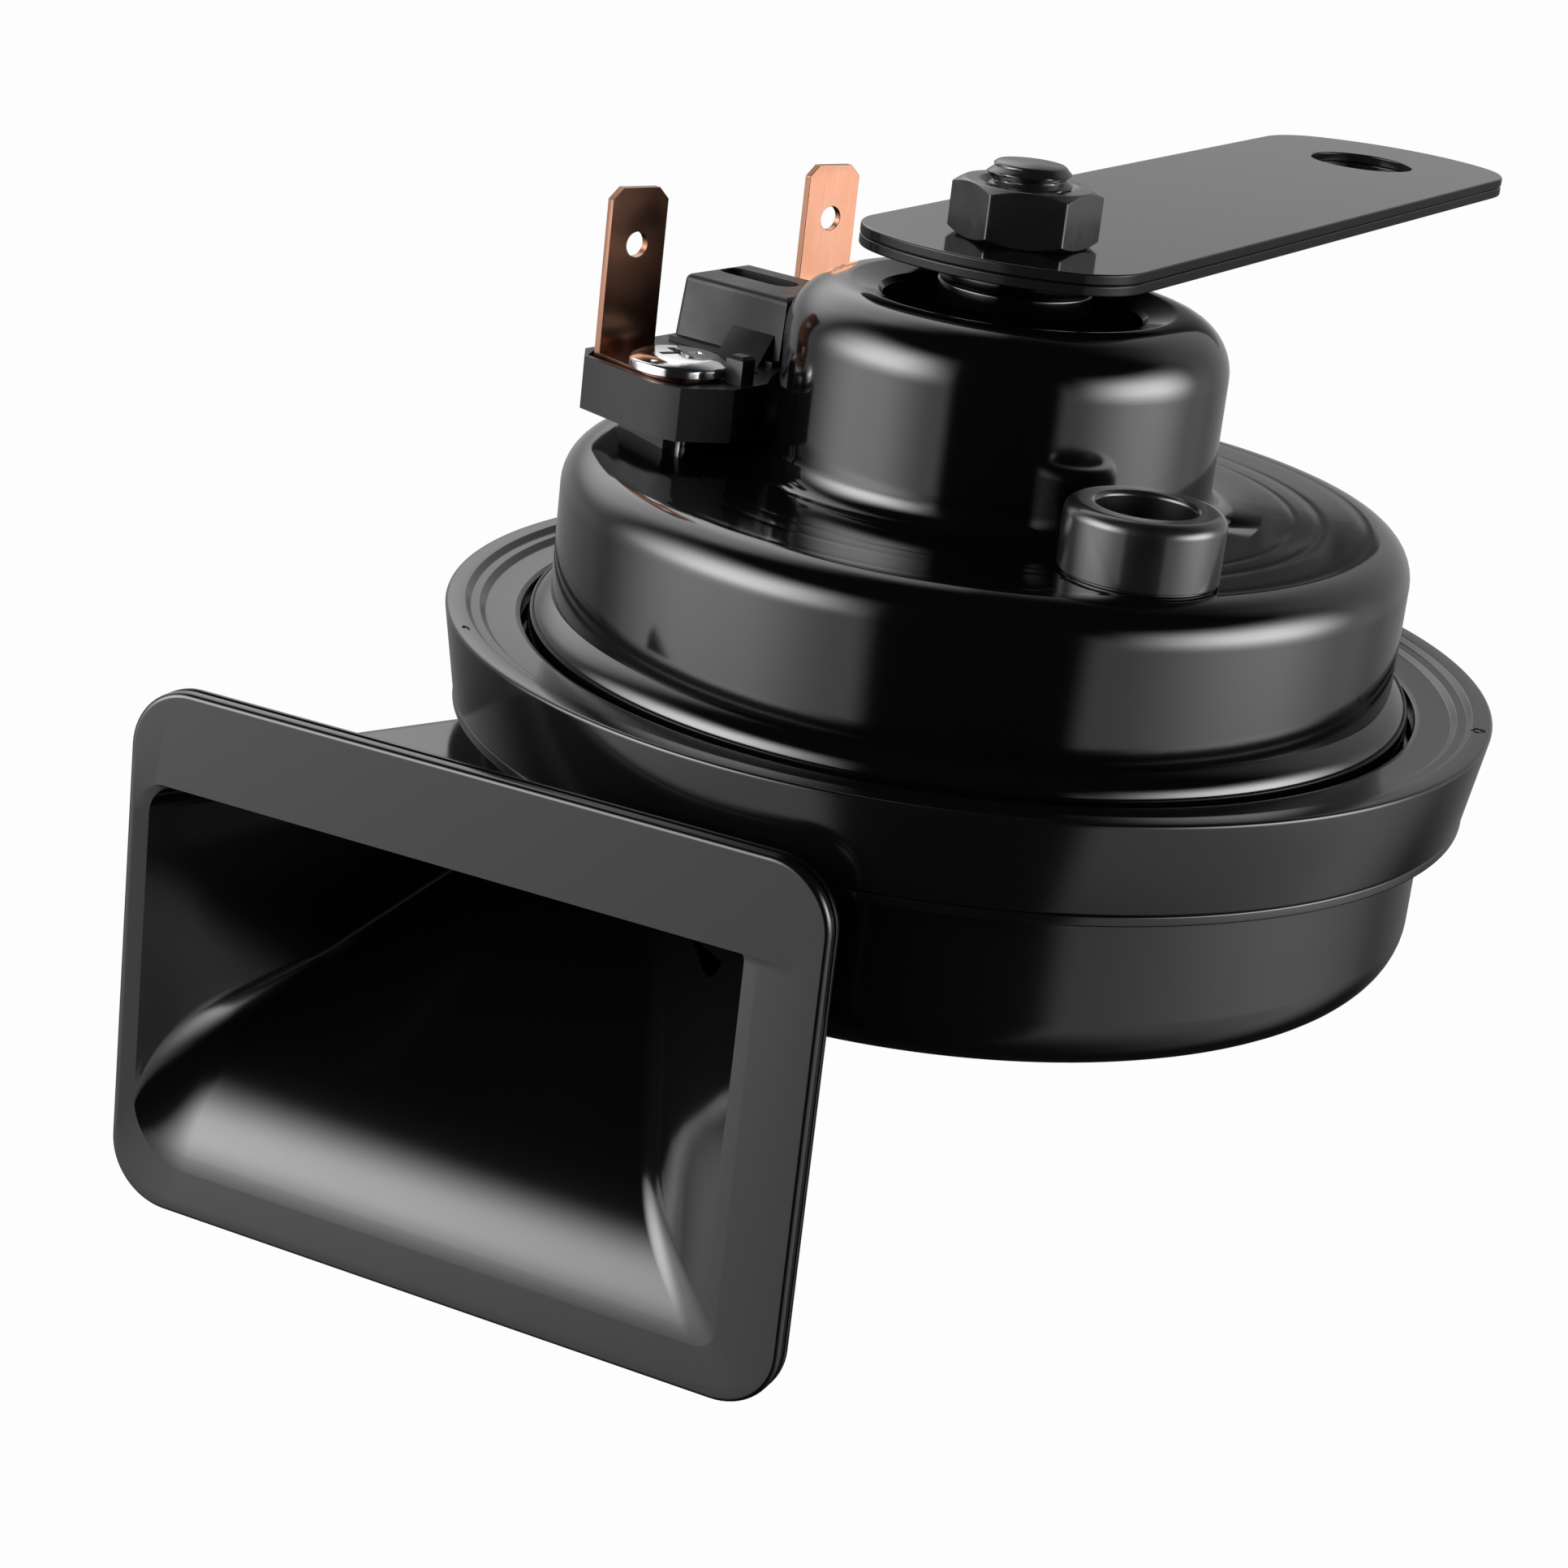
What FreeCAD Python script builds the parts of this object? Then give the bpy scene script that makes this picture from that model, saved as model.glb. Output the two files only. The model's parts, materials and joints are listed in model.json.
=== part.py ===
import FreeCAD, Part
import math
import os

# Electric disc horn with a moulded snail trumpet, in millimetres.
# It is drawn about the horn's own axis (+Z), with z = 0 on the cover's rim and the mouth facing -Y.
# Every piece is then moved so that the origin is the centre of the bracket's bolt hole, on the
# underside of the lower leaf.

# Sheet steel case: two drawn tiers, a rolled lip and a flange
case_radius = 39.5
case_sheet = 1.2
case_top = 15.3
case_shoulder_fillet = 4.0
tier_setback = 19.1
tier_top = 33.0
tier_shoulder_fillet = 5.0
tier_foot_fillet = 2.2
recess_depth = 1.0
recess_setback = 7.4
lip_width = 1.9
lip_drop = 0.3
lip_inner_fillet = 0.65
flange_width = 3.2

# Clamped edge of the diaphragm, from the cover's ledge downwards
ledge_thickness = 1.8
stack_clearance = 0.1
clamp_sheet = 0.6
clamp_wall = 0.7
clamp_grip = 1.4
upper_gasket_thickness = 0.3
diaphragm_thickness = 0.4
lower_gasket_thickness = 0.5
gasket_width = 3.0
throat_rim_thickness = 2.1

# Moulded cover ring
rim_width = 1.95
step_run = 0.45
land_width = 0.9
second_step_run = 0.5
step_drop = 0.5
ledge_dish = 0.12
cover_gap = 0.7
throat_rim_margin = 0.9
cover_fit = 0.2
skirt_wall = 1.4
skirt_taper = 1.4
rim_edge_fillet = 0.3

# Trumpet: basin under the ring, bell and mouth flange
trumpet_wall = 2.2
rim_overhang = 3.3
rim_thickness = 1.0
basin_bottom = -25.3
basin_fillet = 5.5
mouth_clearance = 0.5
mouth_plate = 1.1
mouth_groove = 0.4
mouth_groove_depth = 0.5
mouth_back_plate = 0.8
mouth_width = 69.05
mouth_height = 50.2
mouth_overhang = 8.25
mouth_top = -5.4
mouth_corner = 6.0
left_margin = 0.75
right_margin = 3.2
floor_margin = 1.4
roof_drop = 9.05
left_flare = 12.0
right_flare = 16.0
floor_flare = 16.0
bell_length = 42.0
bell_left_run = 21.1
bell_inner_width = 11.4
bell_run_in = 3.0
roof_corner = 3.0
floor_corner_at_mouth = 5.0
floor_corner_inside = 9.0
corner_share = 0.45
outer_corner_share = 0.5
bell_sections = 10
bell_crowding = 2.2
flange_bite = 0.05

# Throat plate with its spiral wall
throat_web = 1.6
throat_dish = 1.5
throat_radius = 6.0
spiral_wall = 2.0
spiral_start_angle = -80.0
spiral_sweep = 450.0
spiral_growth = 5
spiral_inner_radius = 9.0
spiral_floor_gap = 0.2
spiral_points = 18

# Armature, core and coil
stud_radius = 3.95
stud_top = 44.9
stud_chamfer = 1.3
stud_hole_radius = 4.2
core_radius = 7.0
core_flange_radius = 9.0
core_flange_thickness = 2.0
core_foot = 10.0
pole_gap = 0.7
armature_radius = 12.0
armature_flange = 1.6
armature_stem_radius = 6.5
diaphragm_gap = 0.05
rivet_shank_radius = 2.5
rivet_hole_clearance = 0.2
rivet_head_radius = 5.5
rivet_head = 1.2
rivet_depth = 6.0
bobbin_clearance = 0.3
bobbin_wall = 1.0
bobbin_side_gap = 1.7
bobbin_flange = 1.2
bobbin_foot = 5.0
winding_margin = 1.0

# Contact breaker under the tuning screw
adjuster_angle = -41.3
adjuster_inset = 10.2
adjuster_radius = 2.5
adjuster_fit = 0.05
adjuster_top = 18.2
adjuster_slot_width = 0.9
adjuster_slot_depth = 1.1
bush_head_radius = 5.2
bush_head = 3.0
bush_neck_radius = 3.5
bush_rivet_radius = 4.2
bush_rivet = 0.9
collar_radius = 7.05
collar_hole_radius = 4.35
collar_height = 6.2
collar_edge_fillet = 1.2
collar_foot_groove = 0.3
fixed_arm_top = 0.0
fixed_arm_sheet = 0.8
spring_sheet = 0.4
arm_end_side = -8.4
contact_radius = 2.4
contact_height = 1.6
contact_side = -5.3
breaker_inset = 6.5
breaker_width = 7.5
breaker_near_side = 7.5
breaker_far_side = 13.0
clamp_plate_sheet = 1.0
breaker_rivet_radius = 1.0
breaker_rivet_head_radius = 1.7
breaker_rivet_head = 0.7
breaker_rivet_spacing = 3.7
spring_tongue_width = 7.0
spring_lap = 2.0
spring_lift = 0.3
spring_foot_gap = 2.5
spring_crank = 4.5

# Terminal block on the case's lower tier, drawn along the block's own radius and tangent
block_angle = 169.4
block_bottom = 17.0
block_top = 22.0
block_inner_clearance = 1.0
block_outer_margin = 3.6
block_shoulder_run = 1.9
block_end_run = 1.6
block_heel_run = 4.3
block_wrap = 2.7
block_side_half = 17.0
block_shoulder_half = 19.4
block_end_half = 21.9
block_heel_half = 21.2
tray_depth = 0.5
tray_rim = 1.0
tower_tier_gap = 1.1
tower_setback = 1.6
tower_half = 5.0
tower_top = 28.4
tower_batter = 0.45
tower_fillet = 0.7
slot_inner_margin = 3.4
slot_outer_margin = 0.4
slot_offset = -0.7
slot_width = 3.2
slot_depth = 5.0
ledge_height = 0.5
ledge_depth = 1.0
gusset_setback = 0.9
gusset_width = 5.0
gusset_rise = 2.75
gusset_depth = 2.6
post_wrap = 1.1
post_half_place = 14.4
post_side = 1.9
post_height = 2.6
post_chamfer = 0.32
gasket_inner_run = 1.2
gasket_outer_run = 0.4
gasket_half = 19.0
gasket_taper = 3.0
gasket_hole_clearance = 0.15

# Blade terminals and their screws
blade_run = 6.9
blade_half_place = 15.3
blade_angle = 75.0
blade_width = 6.3
blade_thickness = 0.8
blade_top = 37.7
blade_corner = 1.1
blade_hole_radius = 1.2
blade_hole_drop = 5.3
eyelet_radius = 4.2
screw_setback = 4.6
screw_half_place = 16.1
screw_radius = 2.0
screw_head_radius = 4.7
screw_head_rim = 0.7
screw_head_crown = 0.8
screw_crown_radius = 3.6
screw_cross_width = 1.0
screw_cross_length = 4.6
screw_cross_depth = 1.0
screw_foot = 8.9
insulator_radius = 3.2
insulator_washer_radius = 4.6
insulator_washer = 1.2
terminal_nut_flats = 7.0
terminal_nut_height = 3.2

# Washers, bracket leaves and nut on the stud
washer_radius = 7.1
lower_washer_height = 2.0
upper_washer_height = 2.0
washer_edge = 0.3
leaf_sheet = 1.0
leaf_half_width = 13.9
leaf_tail = 12.6
leaf_reach = 97.5
leaf_nose_radius = 20.0
leaf_corner = 8.0
leaf_turn = 4.7
bolt_margin = 15.1
bolt_hole_radius = 5.5
nut_flats = 12.0
nut_height = 5.15
nut_chamfer = 0.85
nut_turn = 23.0
nut_bore_radius = 4.0
nut_countersink_radius = 4.25

# How far a cutting shape runs past what it cuts, and when two points are one
cut_margin = 1.0
touching = 1e-6

# Radii, reaches and levels that follow from the sizes above
tier_radius = case_radius - tier_setback
recess_floor_radius = tier_radius - recess_setback
bobbin_flange_radius = tier_radius - case_sheet - bobbin_side_gap
winding_radius = bobbin_flange_radius - winding_margin
adjuster_reach = case_radius - adjuster_inset
breaker_outer_reach = case_radius - breaker_inset
breaker_inner_reach = breaker_outer_reach - breaker_width
spring_tip_reach = armature_radius - spring_lap
spring_foot_reach = armature_radius + spring_foot_gap
spring_knee_reach = spring_foot_reach + spring_crank
screw_reach = tier_radius + screw_setback
blade_reach = screw_reach + blade_run
block_outer_reach = blade_reach + block_outer_margin
block_shoulder_reach = block_outer_reach - block_shoulder_run
block_end_reach = screw_reach - block_end_run
block_heel_reach = screw_reach - block_heel_run
block_inner_reach = tier_radius - block_wrap
tower_inner_reach = tier_radius + tower_tier_gap
tower_outer_reach = block_outer_reach - tower_setback
slot_inner_reach = tower_inner_reach + slot_inner_margin
slot_outer_reach = tower_outer_reach - slot_outer_margin
gusset_inner_reach = tower_inner_reach + gusset_setback
gusset_outer_reach = gusset_inner_reach + gusset_width
post_reach = tier_radius - post_wrap
gasket_inner_reach = screw_reach - gasket_inner_run
gasket_outer_reach = blade_reach - gasket_outer_run
bolt_reach = leaf_reach - bolt_margin
lip_radius = case_radius + lip_width
case_flange_radius = lip_radius + flange_width
clamp_radius = case_flange_radius + clamp_wall
throat_plate_radius = clamp_radius + throat_rim_margin
cover_inner_radius = throat_plate_radius + cover_fit
cover_foot_radius = cover_inner_radius + skirt_wall
cover_radius = cover_foot_radius + skirt_taper
cover_hole_radius = lip_radius + cover_gap
basin_radius = cover_foot_radius - rim_overhang
ledge_top = -2 * step_drop
ledge_underside = ledge_top - ledge_thickness
clamp_top = ledge_underside - stack_clearance
case_flange_top = clamp_top - clamp_sheet
case_flange_underside = case_flange_top - case_sheet
diaphragm_top = case_flange_underside - upper_gasket_thickness
diaphragm_underside = diaphragm_top - diaphragm_thickness
clamp_lower_face = diaphragm_underside - lower_gasket_thickness
clamp_bottom = clamp_lower_face - clamp_sheet
throat_rim_bottom = clamp_bottom - throat_rim_thickness
rim_bottom = throat_rim_bottom - rim_thickness
basin_floor = basin_bottom + trumpet_wall
mouth_thickness = mouth_plate + mouth_groove + mouth_back_plate
mouth_plane = -(cover_radius + mouth_clearance + mouth_thickness)
mouth_left = -(cover_radius + mouth_overhang)
mouth_right = mouth_left + mouth_width
mouth_bottom = mouth_top - mouth_height
case_top_underside = case_top - case_sheet
recess_floor = tier_top - recess_depth
recess_underside = recess_floor - case_sheet
leaf_bottom = recess_floor + lower_washer_height + upper_washer_height
nut_bottom = leaf_bottom + 2 * leaf_sheet
blade_foot_top = block_top - tray_depth + blade_thickness
spring_bottom = fixed_arm_top + 2 * contact_height
eyelet_inner_reach = screw_reach - eyelet_radius - gasket_hole_clearance
tray_near_half = blade_half_place - blade_width
clamp_plate_bottom = fixed_arm_top - fixed_arm_sheet - clamp_plate_sheet
bolt_place = FreeCAD.Vector(
    bolt_reach * math.sin(math.radians(leaf_turn)),
    bolt_reach * math.cos(math.radians(leaf_turn)),
    leaf_bottom,
)
UP = FreeCAD.Vector(0, 0, 1)
CENTRE = FreeCAD.Vector(0, 0, 0)


def save(name, shape):
    """Moves a piece into the bolt hole's frame and writes its STEP file."""
    placed = shape.copy()
    placed.translate(bolt_place * -1)
    placed.exportStep("parts/" + name + ".step")


def arc(centre_r, centre_z, radius, start, end):
    """The start point of an arc and its (middle, end) step, with angles in degrees."""
    def at(angle):
        turn = math.radians(angle)
        return (centre_r + radius * math.cos(turn), centre_z + radius * math.sin(turn))
    return [at(start), (at((start + end) / 2), at(end))]


def outline(steps, lift):
    """A closed wire through steps: a point is a straight run, a pair of points is an arc."""
    edges = []
    first = lift(steps[0])
    here = first
    for step in steps[1:]:
        if isinstance(step[0], tuple):
            target = lift(step[1])
            edges.append(Part.Arc(here, lift(step[0]), target).toShape())
        else:
            target = lift(step)
            if target.distanceToPoint(here) < touching:
                continue
            edges.append(Part.LineSegment(here, target).toShape())
        here = target
    if here.distanceToPoint(first) > touching:
        edges.append(Part.LineSegment(here, first).toShape())
    return Part.Wire(edges)


def turned(steps):
    """A solid turned about the horn's axis from an outline of (radius, height) steps."""
    wire = outline(steps, lambda p: FreeCAD.Vector(p[0], 0, p[1]))
    return Part.Face(wire).revolve(CENTRE, UP, 360)


def disc(radius, bottom, top, x=0.0, y=0.0):
    """An upright cylinder from one level to another."""
    return Part.makeCylinder(radius, top - bottom, FreeCAD.Vector(x, y, bottom), UP)


def hole(radius, bottom, top, x=0.0, y=0.0):
    """A cylinder that cuts a hole from one level to another, run past both."""
    return disc(radius, bottom - cut_margin, top + cut_margin, x, y)


def ring(outer, inner, bottom, top, x=0.0, y=0.0):
    """A flat ring from one level to another."""
    return disc(outer, bottom, top, x, y).cut(hole(inner, bottom, top, x, y))


def prism(points, bottom, top):
    """An upright prism over a plan of (x, y) steps."""
    wire = outline(points, lambda p: FreeCAD.Vector(p[0], p[1], bottom))
    return Part.Face(wire).extrude(UP * (top - bottom))


def hexagon(flats, bottom, top, turn=0.0, x=0.0, y=0.0):
    """A hexagonal bar, its first corner turned from +X."""
    reach = flats / math.sqrt(3)
    corners = []
    for side in range(6):
        angle = math.radians(turn + 60 * side)
        corners.append((x + reach * math.cos(angle), y + reach * math.sin(angle)))
    return prism(corners, bottom, top)


def turn_about_axis(shape, angle):
    """Turns a shape about the horn's axis."""
    turned_shape = shape.copy()
    turned_shape.rotate(CENTRE, UP, angle)
    return turned_shape


def on_adjuster_radius(shape):
    """Turns a shape drawn along +X onto the radius of the tuning screw."""
    return turn_about_axis(shape, adjuster_angle)


def on_block_radius(shape):
    """Turns a shape drawn along +X onto the radius of the terminal block."""
    return turn_about_axis(shape, block_angle)


def adjuster_hole(radius):
    """A cylinder through the case's lower tier at the tuning screw."""
    return on_adjuster_radius(hole(radius, case_top_underside, case_top, adjuster_reach, 0))


def breaker_rivet_places():
    """Places of the two breaker rivets, along the adjuster's radius and tangent."""
    reach = (breaker_inner_reach + breaker_outer_reach) / 2
    side = (breaker_near_side + breaker_far_side) / 2
    return [(reach + end * breaker_rivet_spacing / 2, side) for end in (-1, 1)]


def terminal_screw_places():
    """Places of the two terminal screws, along the block's radius and tangent."""
    return [(screw_reach, side * screw_half_place) for side in (-1, 1)]


def make_case():
    """Drawn steel case: a two-tier dome with a rolled lip and a clamped flange."""
    inner_shoulder = case_shoulder_fillet - case_sheet
    inner_tier_shoulder = tier_shoulder_fillet - case_sheet
    outer_foot = tier_foot_fillet + case_sheet
    crest = tier_radius - tier_shoulder_fillet
    lip_middle = case_radius + lip_inner_fillet
    lip_round = (lip_radius - lip_middle) / 2
    outside = [(stud_hole_radius, recess_floor), (recess_floor_radius, recess_floor)]
    outside.append((crest, tier_top))
    outside += arc(crest, tier_top - tier_shoulder_fillet, tier_shoulder_fillet, 90, 0)
    outside += arc(tier_radius + tier_foot_fillet, case_top + tier_foot_fillet, tier_foot_fillet, 180, 270)
    outside += arc(case_radius - case_shoulder_fillet, case_top - case_shoulder_fillet,
                   case_shoulder_fillet, 90, 0)
    outside += arc(lip_middle, -lip_drop - lip_round + lip_inner_fillet, lip_inner_fillet, 180, 270)
    outside += arc(lip_middle + lip_round, -lip_drop - lip_round, lip_round, 180, 0)
    outside += [(lip_radius, case_flange_top), (case_flange_radius, case_flange_top)]
    outside += [(case_flange_radius, case_flange_underside)]
    inside = [(lip_radius - case_sheet, case_flange_underside)]
    inside.append((lip_radius - case_sheet, -lip_drop - lip_round - case_sheet))
    inside.append((case_radius - case_sheet, -lip_drop - lip_round))
    inside += arc(case_radius - case_shoulder_fillet, case_top - case_shoulder_fillet,
                  inner_shoulder, 0, 90)
    inside += arc(tier_radius + tier_foot_fillet, case_top + tier_foot_fillet, outer_foot, 270, 180)
    inside += arc(crest, tier_top - tier_shoulder_fillet, inner_tier_shoulder, 0, 90)
    inside.append((recess_floor_radius, recess_underside))
    inside.append((stud_hole_radius, recess_underside))
    case = turned(outside + inside)
    case = case.cut(adjuster_hole(bush_neck_radius))
    for reach, side in breaker_rivet_places():
        case = case.cut(on_adjuster_radius(
            hole(breaker_rivet_radius, case_top_underside, case_top, reach, side)))
    for reach, side in terminal_screw_places():
        case = case.cut(on_block_radius(
            hole(insulator_radius, case_top_underside, case_top, reach, side)))
    return case


def make_clamp_ring():
    """Crimped steel channel that grips the case flange, gaskets and diaphragm."""
    grip_radius = case_flange_radius - clamp_grip
    return turned([
        (grip_radius, clamp_top), (clamp_radius, clamp_top), (clamp_radius, clamp_bottom),
        (grip_radius, clamp_bottom), (grip_radius, clamp_lower_face),
        (case_flange_radius, clamp_lower_face), (case_flange_radius, case_flange_top),
        (grip_radius, case_flange_top),
    ])


def make_cover():
    """Moulded ring: a stepped top, a dished ledge and a tapered skirt."""
    step = cover_radius - rim_width
    land = step - step_run
    second_step = land - land_width
    ledge = second_step - second_step_run
    inner_corner = cover_inner_radius - cover_fit
    steps = [(ledge, ledge_top), (second_step, -step_drop), (land, -step_drop), (step, 0)]
    steps += arc(cover_radius - rim_edge_fillet, -rim_edge_fillet, rim_edge_fillet, 90, 0)
    steps += [(cover_foot_radius, throat_rim_bottom), (cover_inner_radius, throat_rim_bottom)]
    steps += [(cover_inner_radius, ledge_underside - cover_fit), (inner_corner, ledge_underside)]
    steps += [(cover_hole_radius, ledge_underside), (cover_hole_radius, ledge_top - ledge_dish)]
    return turned(steps)


def flare(depth, radius, slope, offset):
    """How far a bell wall lies in from its edge at a depth behind the mouth: an arc, then a line."""
    angle = math.radians(slope)
    curve = radius - offset
    tangent_depth = radius - curve * math.sin(angle)
    if depth < tangent_depth:
        return math.sqrt(max(curve ** 2 - (radius - depth) ** 2, 0))
    return curve * math.cos(angle) + math.tan(angle) * (depth - tangent_depth)


def flare_slope(run, radius):
    """Slope of a bell wall that has run in by a distance at the bell's inner end.

    The arc and its tangent line run in by R/cos(a) + (L - R)*tan(a) over a length L, solved for a.
    """
    line = bell_length - radius
    return math.degrees(math.acos(radius / math.hypot(run, line)) - math.atan2(line, run))


def bell_section(depth, offset):
    """Rounded outline of the bell at a depth: offset 0 is its inside, the wall is its outside."""
    left_edge = mouth_left + left_margin
    right_edge = mouth_right - right_margin
    floor_edge = mouth_bottom + floor_margin
    right_run = right_edge - left_edge - bell_left_run - bell_inner_width
    left = left_edge + flare(depth, left_flare, flare_slope(bell_left_run, left_flare), offset)
    right = right_edge - flare(depth, right_flare, flare_slope(right_run, right_flare), offset)
    floor_slope = flare_slope(basin_floor - floor_edge, floor_flare)
    floor = floor_edge + flare(depth, floor_flare, floor_slope, offset)
    roof = mouth_top - roof_drop + offset
    share = min(depth / floor_flare, 1.0)
    low = floor_corner_at_mouth + (floor_corner_inside - floor_corner_at_mouth) * share
    low = min(low, corner_share * (roof - floor), corner_share * (right - left))
    low += outer_corner_share * offset
    high = roof_corner + outer_corner_share * offset
    y = mouth_plane + depth
    steps = arc(right - high, roof - high, high, 0, 90)
    steps += arc(left + high, roof - high, high, 90, 180)
    steps += arc(left + low, floor + low, low, 180, 270)
    steps += arc(right - low, floor + low, low, 270, 360)
    return outline(steps, lambda p: FreeCAD.Vector(p[0], y, p[1]))


def bell_body(start, offset):
    """Loft through bell sections, crowded towards the mouth, that ends inside the basin."""
    length = bell_length + bell_run_in - start
    wires = []
    for section in range(bell_sections + 1):
        share = (section / bell_sections) ** bell_crowding
        wires.append(bell_section(start + length * share, offset))
    return Part.makeLoft(wires, True, True)


def mouth_slab(front, thickness, inset):
    """One layer of the mouth flange, a rounded plate seen from the front."""
    left = mouth_left + inset
    right = mouth_right - inset
    low = mouth_bottom + inset
    high = mouth_top - inset
    corner = mouth_corner - inset
    steps = arc(right - corner, high - corner, corner, 0, 90)
    steps += arc(left + corner, high - corner, corner, 90, 180)
    steps += arc(left + corner, low + corner, corner, 180, 270)
    steps += arc(right - corner, low + corner, corner, 270, 360)
    wire = outline(steps, lambda p: FreeCAD.Vector(p[0], mouth_plane + front, p[1]))
    return Part.Face(wire).extrude(FreeCAD.Vector(0, thickness, 0))


def make_trumpet():
    """Basin under the ring, the bell that leaves it and the flanged mouth, moulded as one."""
    inner_radius = basin_radius - trumpet_wall
    inner_fillet = basin_fillet - trumpet_wall
    basin = [(0, throat_rim_bottom), (cover_foot_radius, throat_rim_bottom)]
    basin += [(cover_foot_radius, rim_bottom), (basin_radius, rim_bottom)]
    basin += arc(basin_radius - basin_fillet, basin_bottom + basin_fillet, basin_fillet, 0, -90)
    basin += [(0, basin_bottom)]
    hollow = [(0, throat_rim_bottom), (inner_radius, throat_rim_bottom)]
    hollow += arc(inner_radius - inner_fillet, basin_floor + inner_fillet, inner_fillet, 0, -90)
    hollow += [(0, basin_floor)]
    outside = bell_body(mouth_thickness - flange_bite, trumpet_wall)
    inside = bell_body(0, 0)
    trumpet = turned(basin).fuse(outside)
    trumpet = trumpet.fuse(mouth_slab(0, mouth_plate, 0))
    trumpet = trumpet.fuse(mouth_slab(mouth_plate, mouth_groove, mouth_groove_depth))
    trumpet = trumpet.fuse(mouth_slab(mouth_plate + mouth_groove, mouth_back_plate, 0))
    return trumpet.cut(turned(hollow)).cut(inside)


def spiral_radius(share, start_radius):
    """Radius of the spiral wall: it opens from the throat towards the basin's wall as a power."""
    return spiral_inner_radius + (start_radius - spiral_inner_radius) * (1 - share) ** spiral_growth


def make_throat_plate():
    """Plate over the basin, dished under the rivet, with the throat and the spiral channel wall."""
    basin_inner = basin_radius - trumpet_wall
    web_top = clamp_bottom - throat_dish
    web_bottom = web_top - throat_web
    dish_radius = basin_inner - 2 * trumpet_wall
    plate = turned([
        (throat_radius, web_top), (dish_radius, web_top), (dish_radius + throat_dish, clamp_bottom),
        (throat_plate_radius, clamp_bottom), (throat_plate_radius, throat_rim_bottom),
        (basin_inner - cover_fit, throat_rim_bottom), (basin_inner - cover_fit, web_bottom),
        (throat_radius, web_bottom),
    ])
    start_radius = basin_inner - cover_fit - spiral_wall
    curves = []
    for offset in (0, spiral_wall):
        points = []
        for step in range(spiral_points + 1):
            share = step / spiral_points
            angle = math.radians(spiral_start_angle - spiral_sweep * share)
            radius = spiral_radius(share, start_radius) + offset
            points.append(FreeCAD.Vector(radius * math.cos(angle), radius * math.sin(angle), web_bottom))
        curve = Part.BSplineCurve()
        curve.interpolate(points)
        curves.append((curve.toShape(), points))
    (inner, inner_points), (outer, outer_points) = curves
    ends = [
        Part.LineSegment(inner_points[0], outer_points[0]).toShape(),
        Part.LineSegment(inner_points[-1], outer_points[-1]).toShape(),
    ]
    wall_face = Part.Face(Part.Wire(Part.__sortEdges__([inner, ends[1], outer, ends[0]])))
    wall_depth = web_bottom - basin_floor - spiral_floor_gap
    wall = wall_face.extrude(FreeCAD.Vector(0, 0, -wall_depth))
    fillet = basin_fillet - trumpet_wall
    way = [(0, web_bottom), (basin_inner - cover_fit, web_bottom)]
    way += arc(basin_inner - cover_fit - fillet, basin_floor + spiral_floor_gap + fillet, fillet, 0, -90)
    way += [(0, basin_floor + spiral_floor_gap)]
    wall = wall.common(turned(way))
    hub = ring(throat_radius + spiral_wall, throat_radius, web_bottom - spiral_wall, web_bottom)
    return plate.fuse(wall).fuse(hub)


def make_core():
    """Soft iron core with a flange under the case roof and the mounting stud above it."""
    flange_bottom = recess_underside - core_flange_thickness
    return turned([
        (0, core_foot), (core_radius, core_foot), (core_radius, flange_bottom),
        (core_flange_radius, flange_bottom), (core_flange_radius, recess_underside),
        (stud_radius, recess_underside), (stud_radius, stud_top - stud_chamfer),
        (stud_radius - stud_chamfer, stud_top), (0, stud_top),
    ])


def make_armature():
    """Iron armature: a flange over the diaphragm and a stem that the core attracts."""
    bottom = diaphragm_top + diaphragm_gap
    flange_top = bottom + armature_flange
    stem_top = core_foot - pole_gap
    return turned([
        (rivet_shank_radius, bottom), (armature_radius, bottom), (armature_radius, flange_top),
        (armature_stem_radius, flange_top), (armature_stem_radius, stem_top), (0, stem_top),
        (0, bottom + rivet_depth), (rivet_shank_radius, bottom + rivet_depth),
    ])


def make_armature_rivet():
    """Rivet that holds the diaphragm's centre to the armature."""
    head_top = diaphragm_underside - diaphragm_gap
    shank_top = diaphragm_top + diaphragm_gap + rivet_depth
    return turned([
        (0, head_top - rivet_head), (rivet_head_radius - rivet_head, head_top - rivet_head),
        (rivet_head_radius, head_top), (rivet_shank_radius, head_top),
        (rivet_shank_radius, shank_top), (0, shank_top),
    ])


def make_bobbin():
    """Moulded coil former around the core."""
    bore = core_radius + bobbin_clearance
    barrel = bore + bobbin_wall
    top = recess_underside - core_flange_thickness
    return turned([
        (bore, bobbin_foot), (bobbin_flange_radius, bobbin_foot),
        (bobbin_flange_radius, bobbin_foot + bobbin_flange), (barrel, bobbin_foot + bobbin_flange),
        (barrel, top - bobbin_flange), (bobbin_flange_radius, top - bobbin_flange),
        (bobbin_flange_radius, top), (bore, top),
    ])


def make_winding():
    """Copper winding between the bobbin's flanges."""
    barrel = core_radius + bobbin_clearance + bobbin_wall
    top = recess_underside - core_flange_thickness - bobbin_flange
    return ring(winding_radius, barrel, bobbin_foot + bobbin_flange, top)


def make_adjusting_screw():
    """Slotted tuning screw that bears on the fixed contact arm."""
    screw = disc(adjuster_radius, fixed_arm_top, adjuster_top, adjuster_reach, 0)
    slot = Part.makeBox(
        2 * (adjuster_radius + cut_margin), adjuster_slot_width, adjuster_slot_depth + cut_margin,
        FreeCAD.Vector(adjuster_reach - adjuster_radius - cut_margin, -adjuster_slot_width / 2,
                       adjuster_top - adjuster_slot_depth),
    )
    return on_adjuster_radius(screw.cut(slot))


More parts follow.
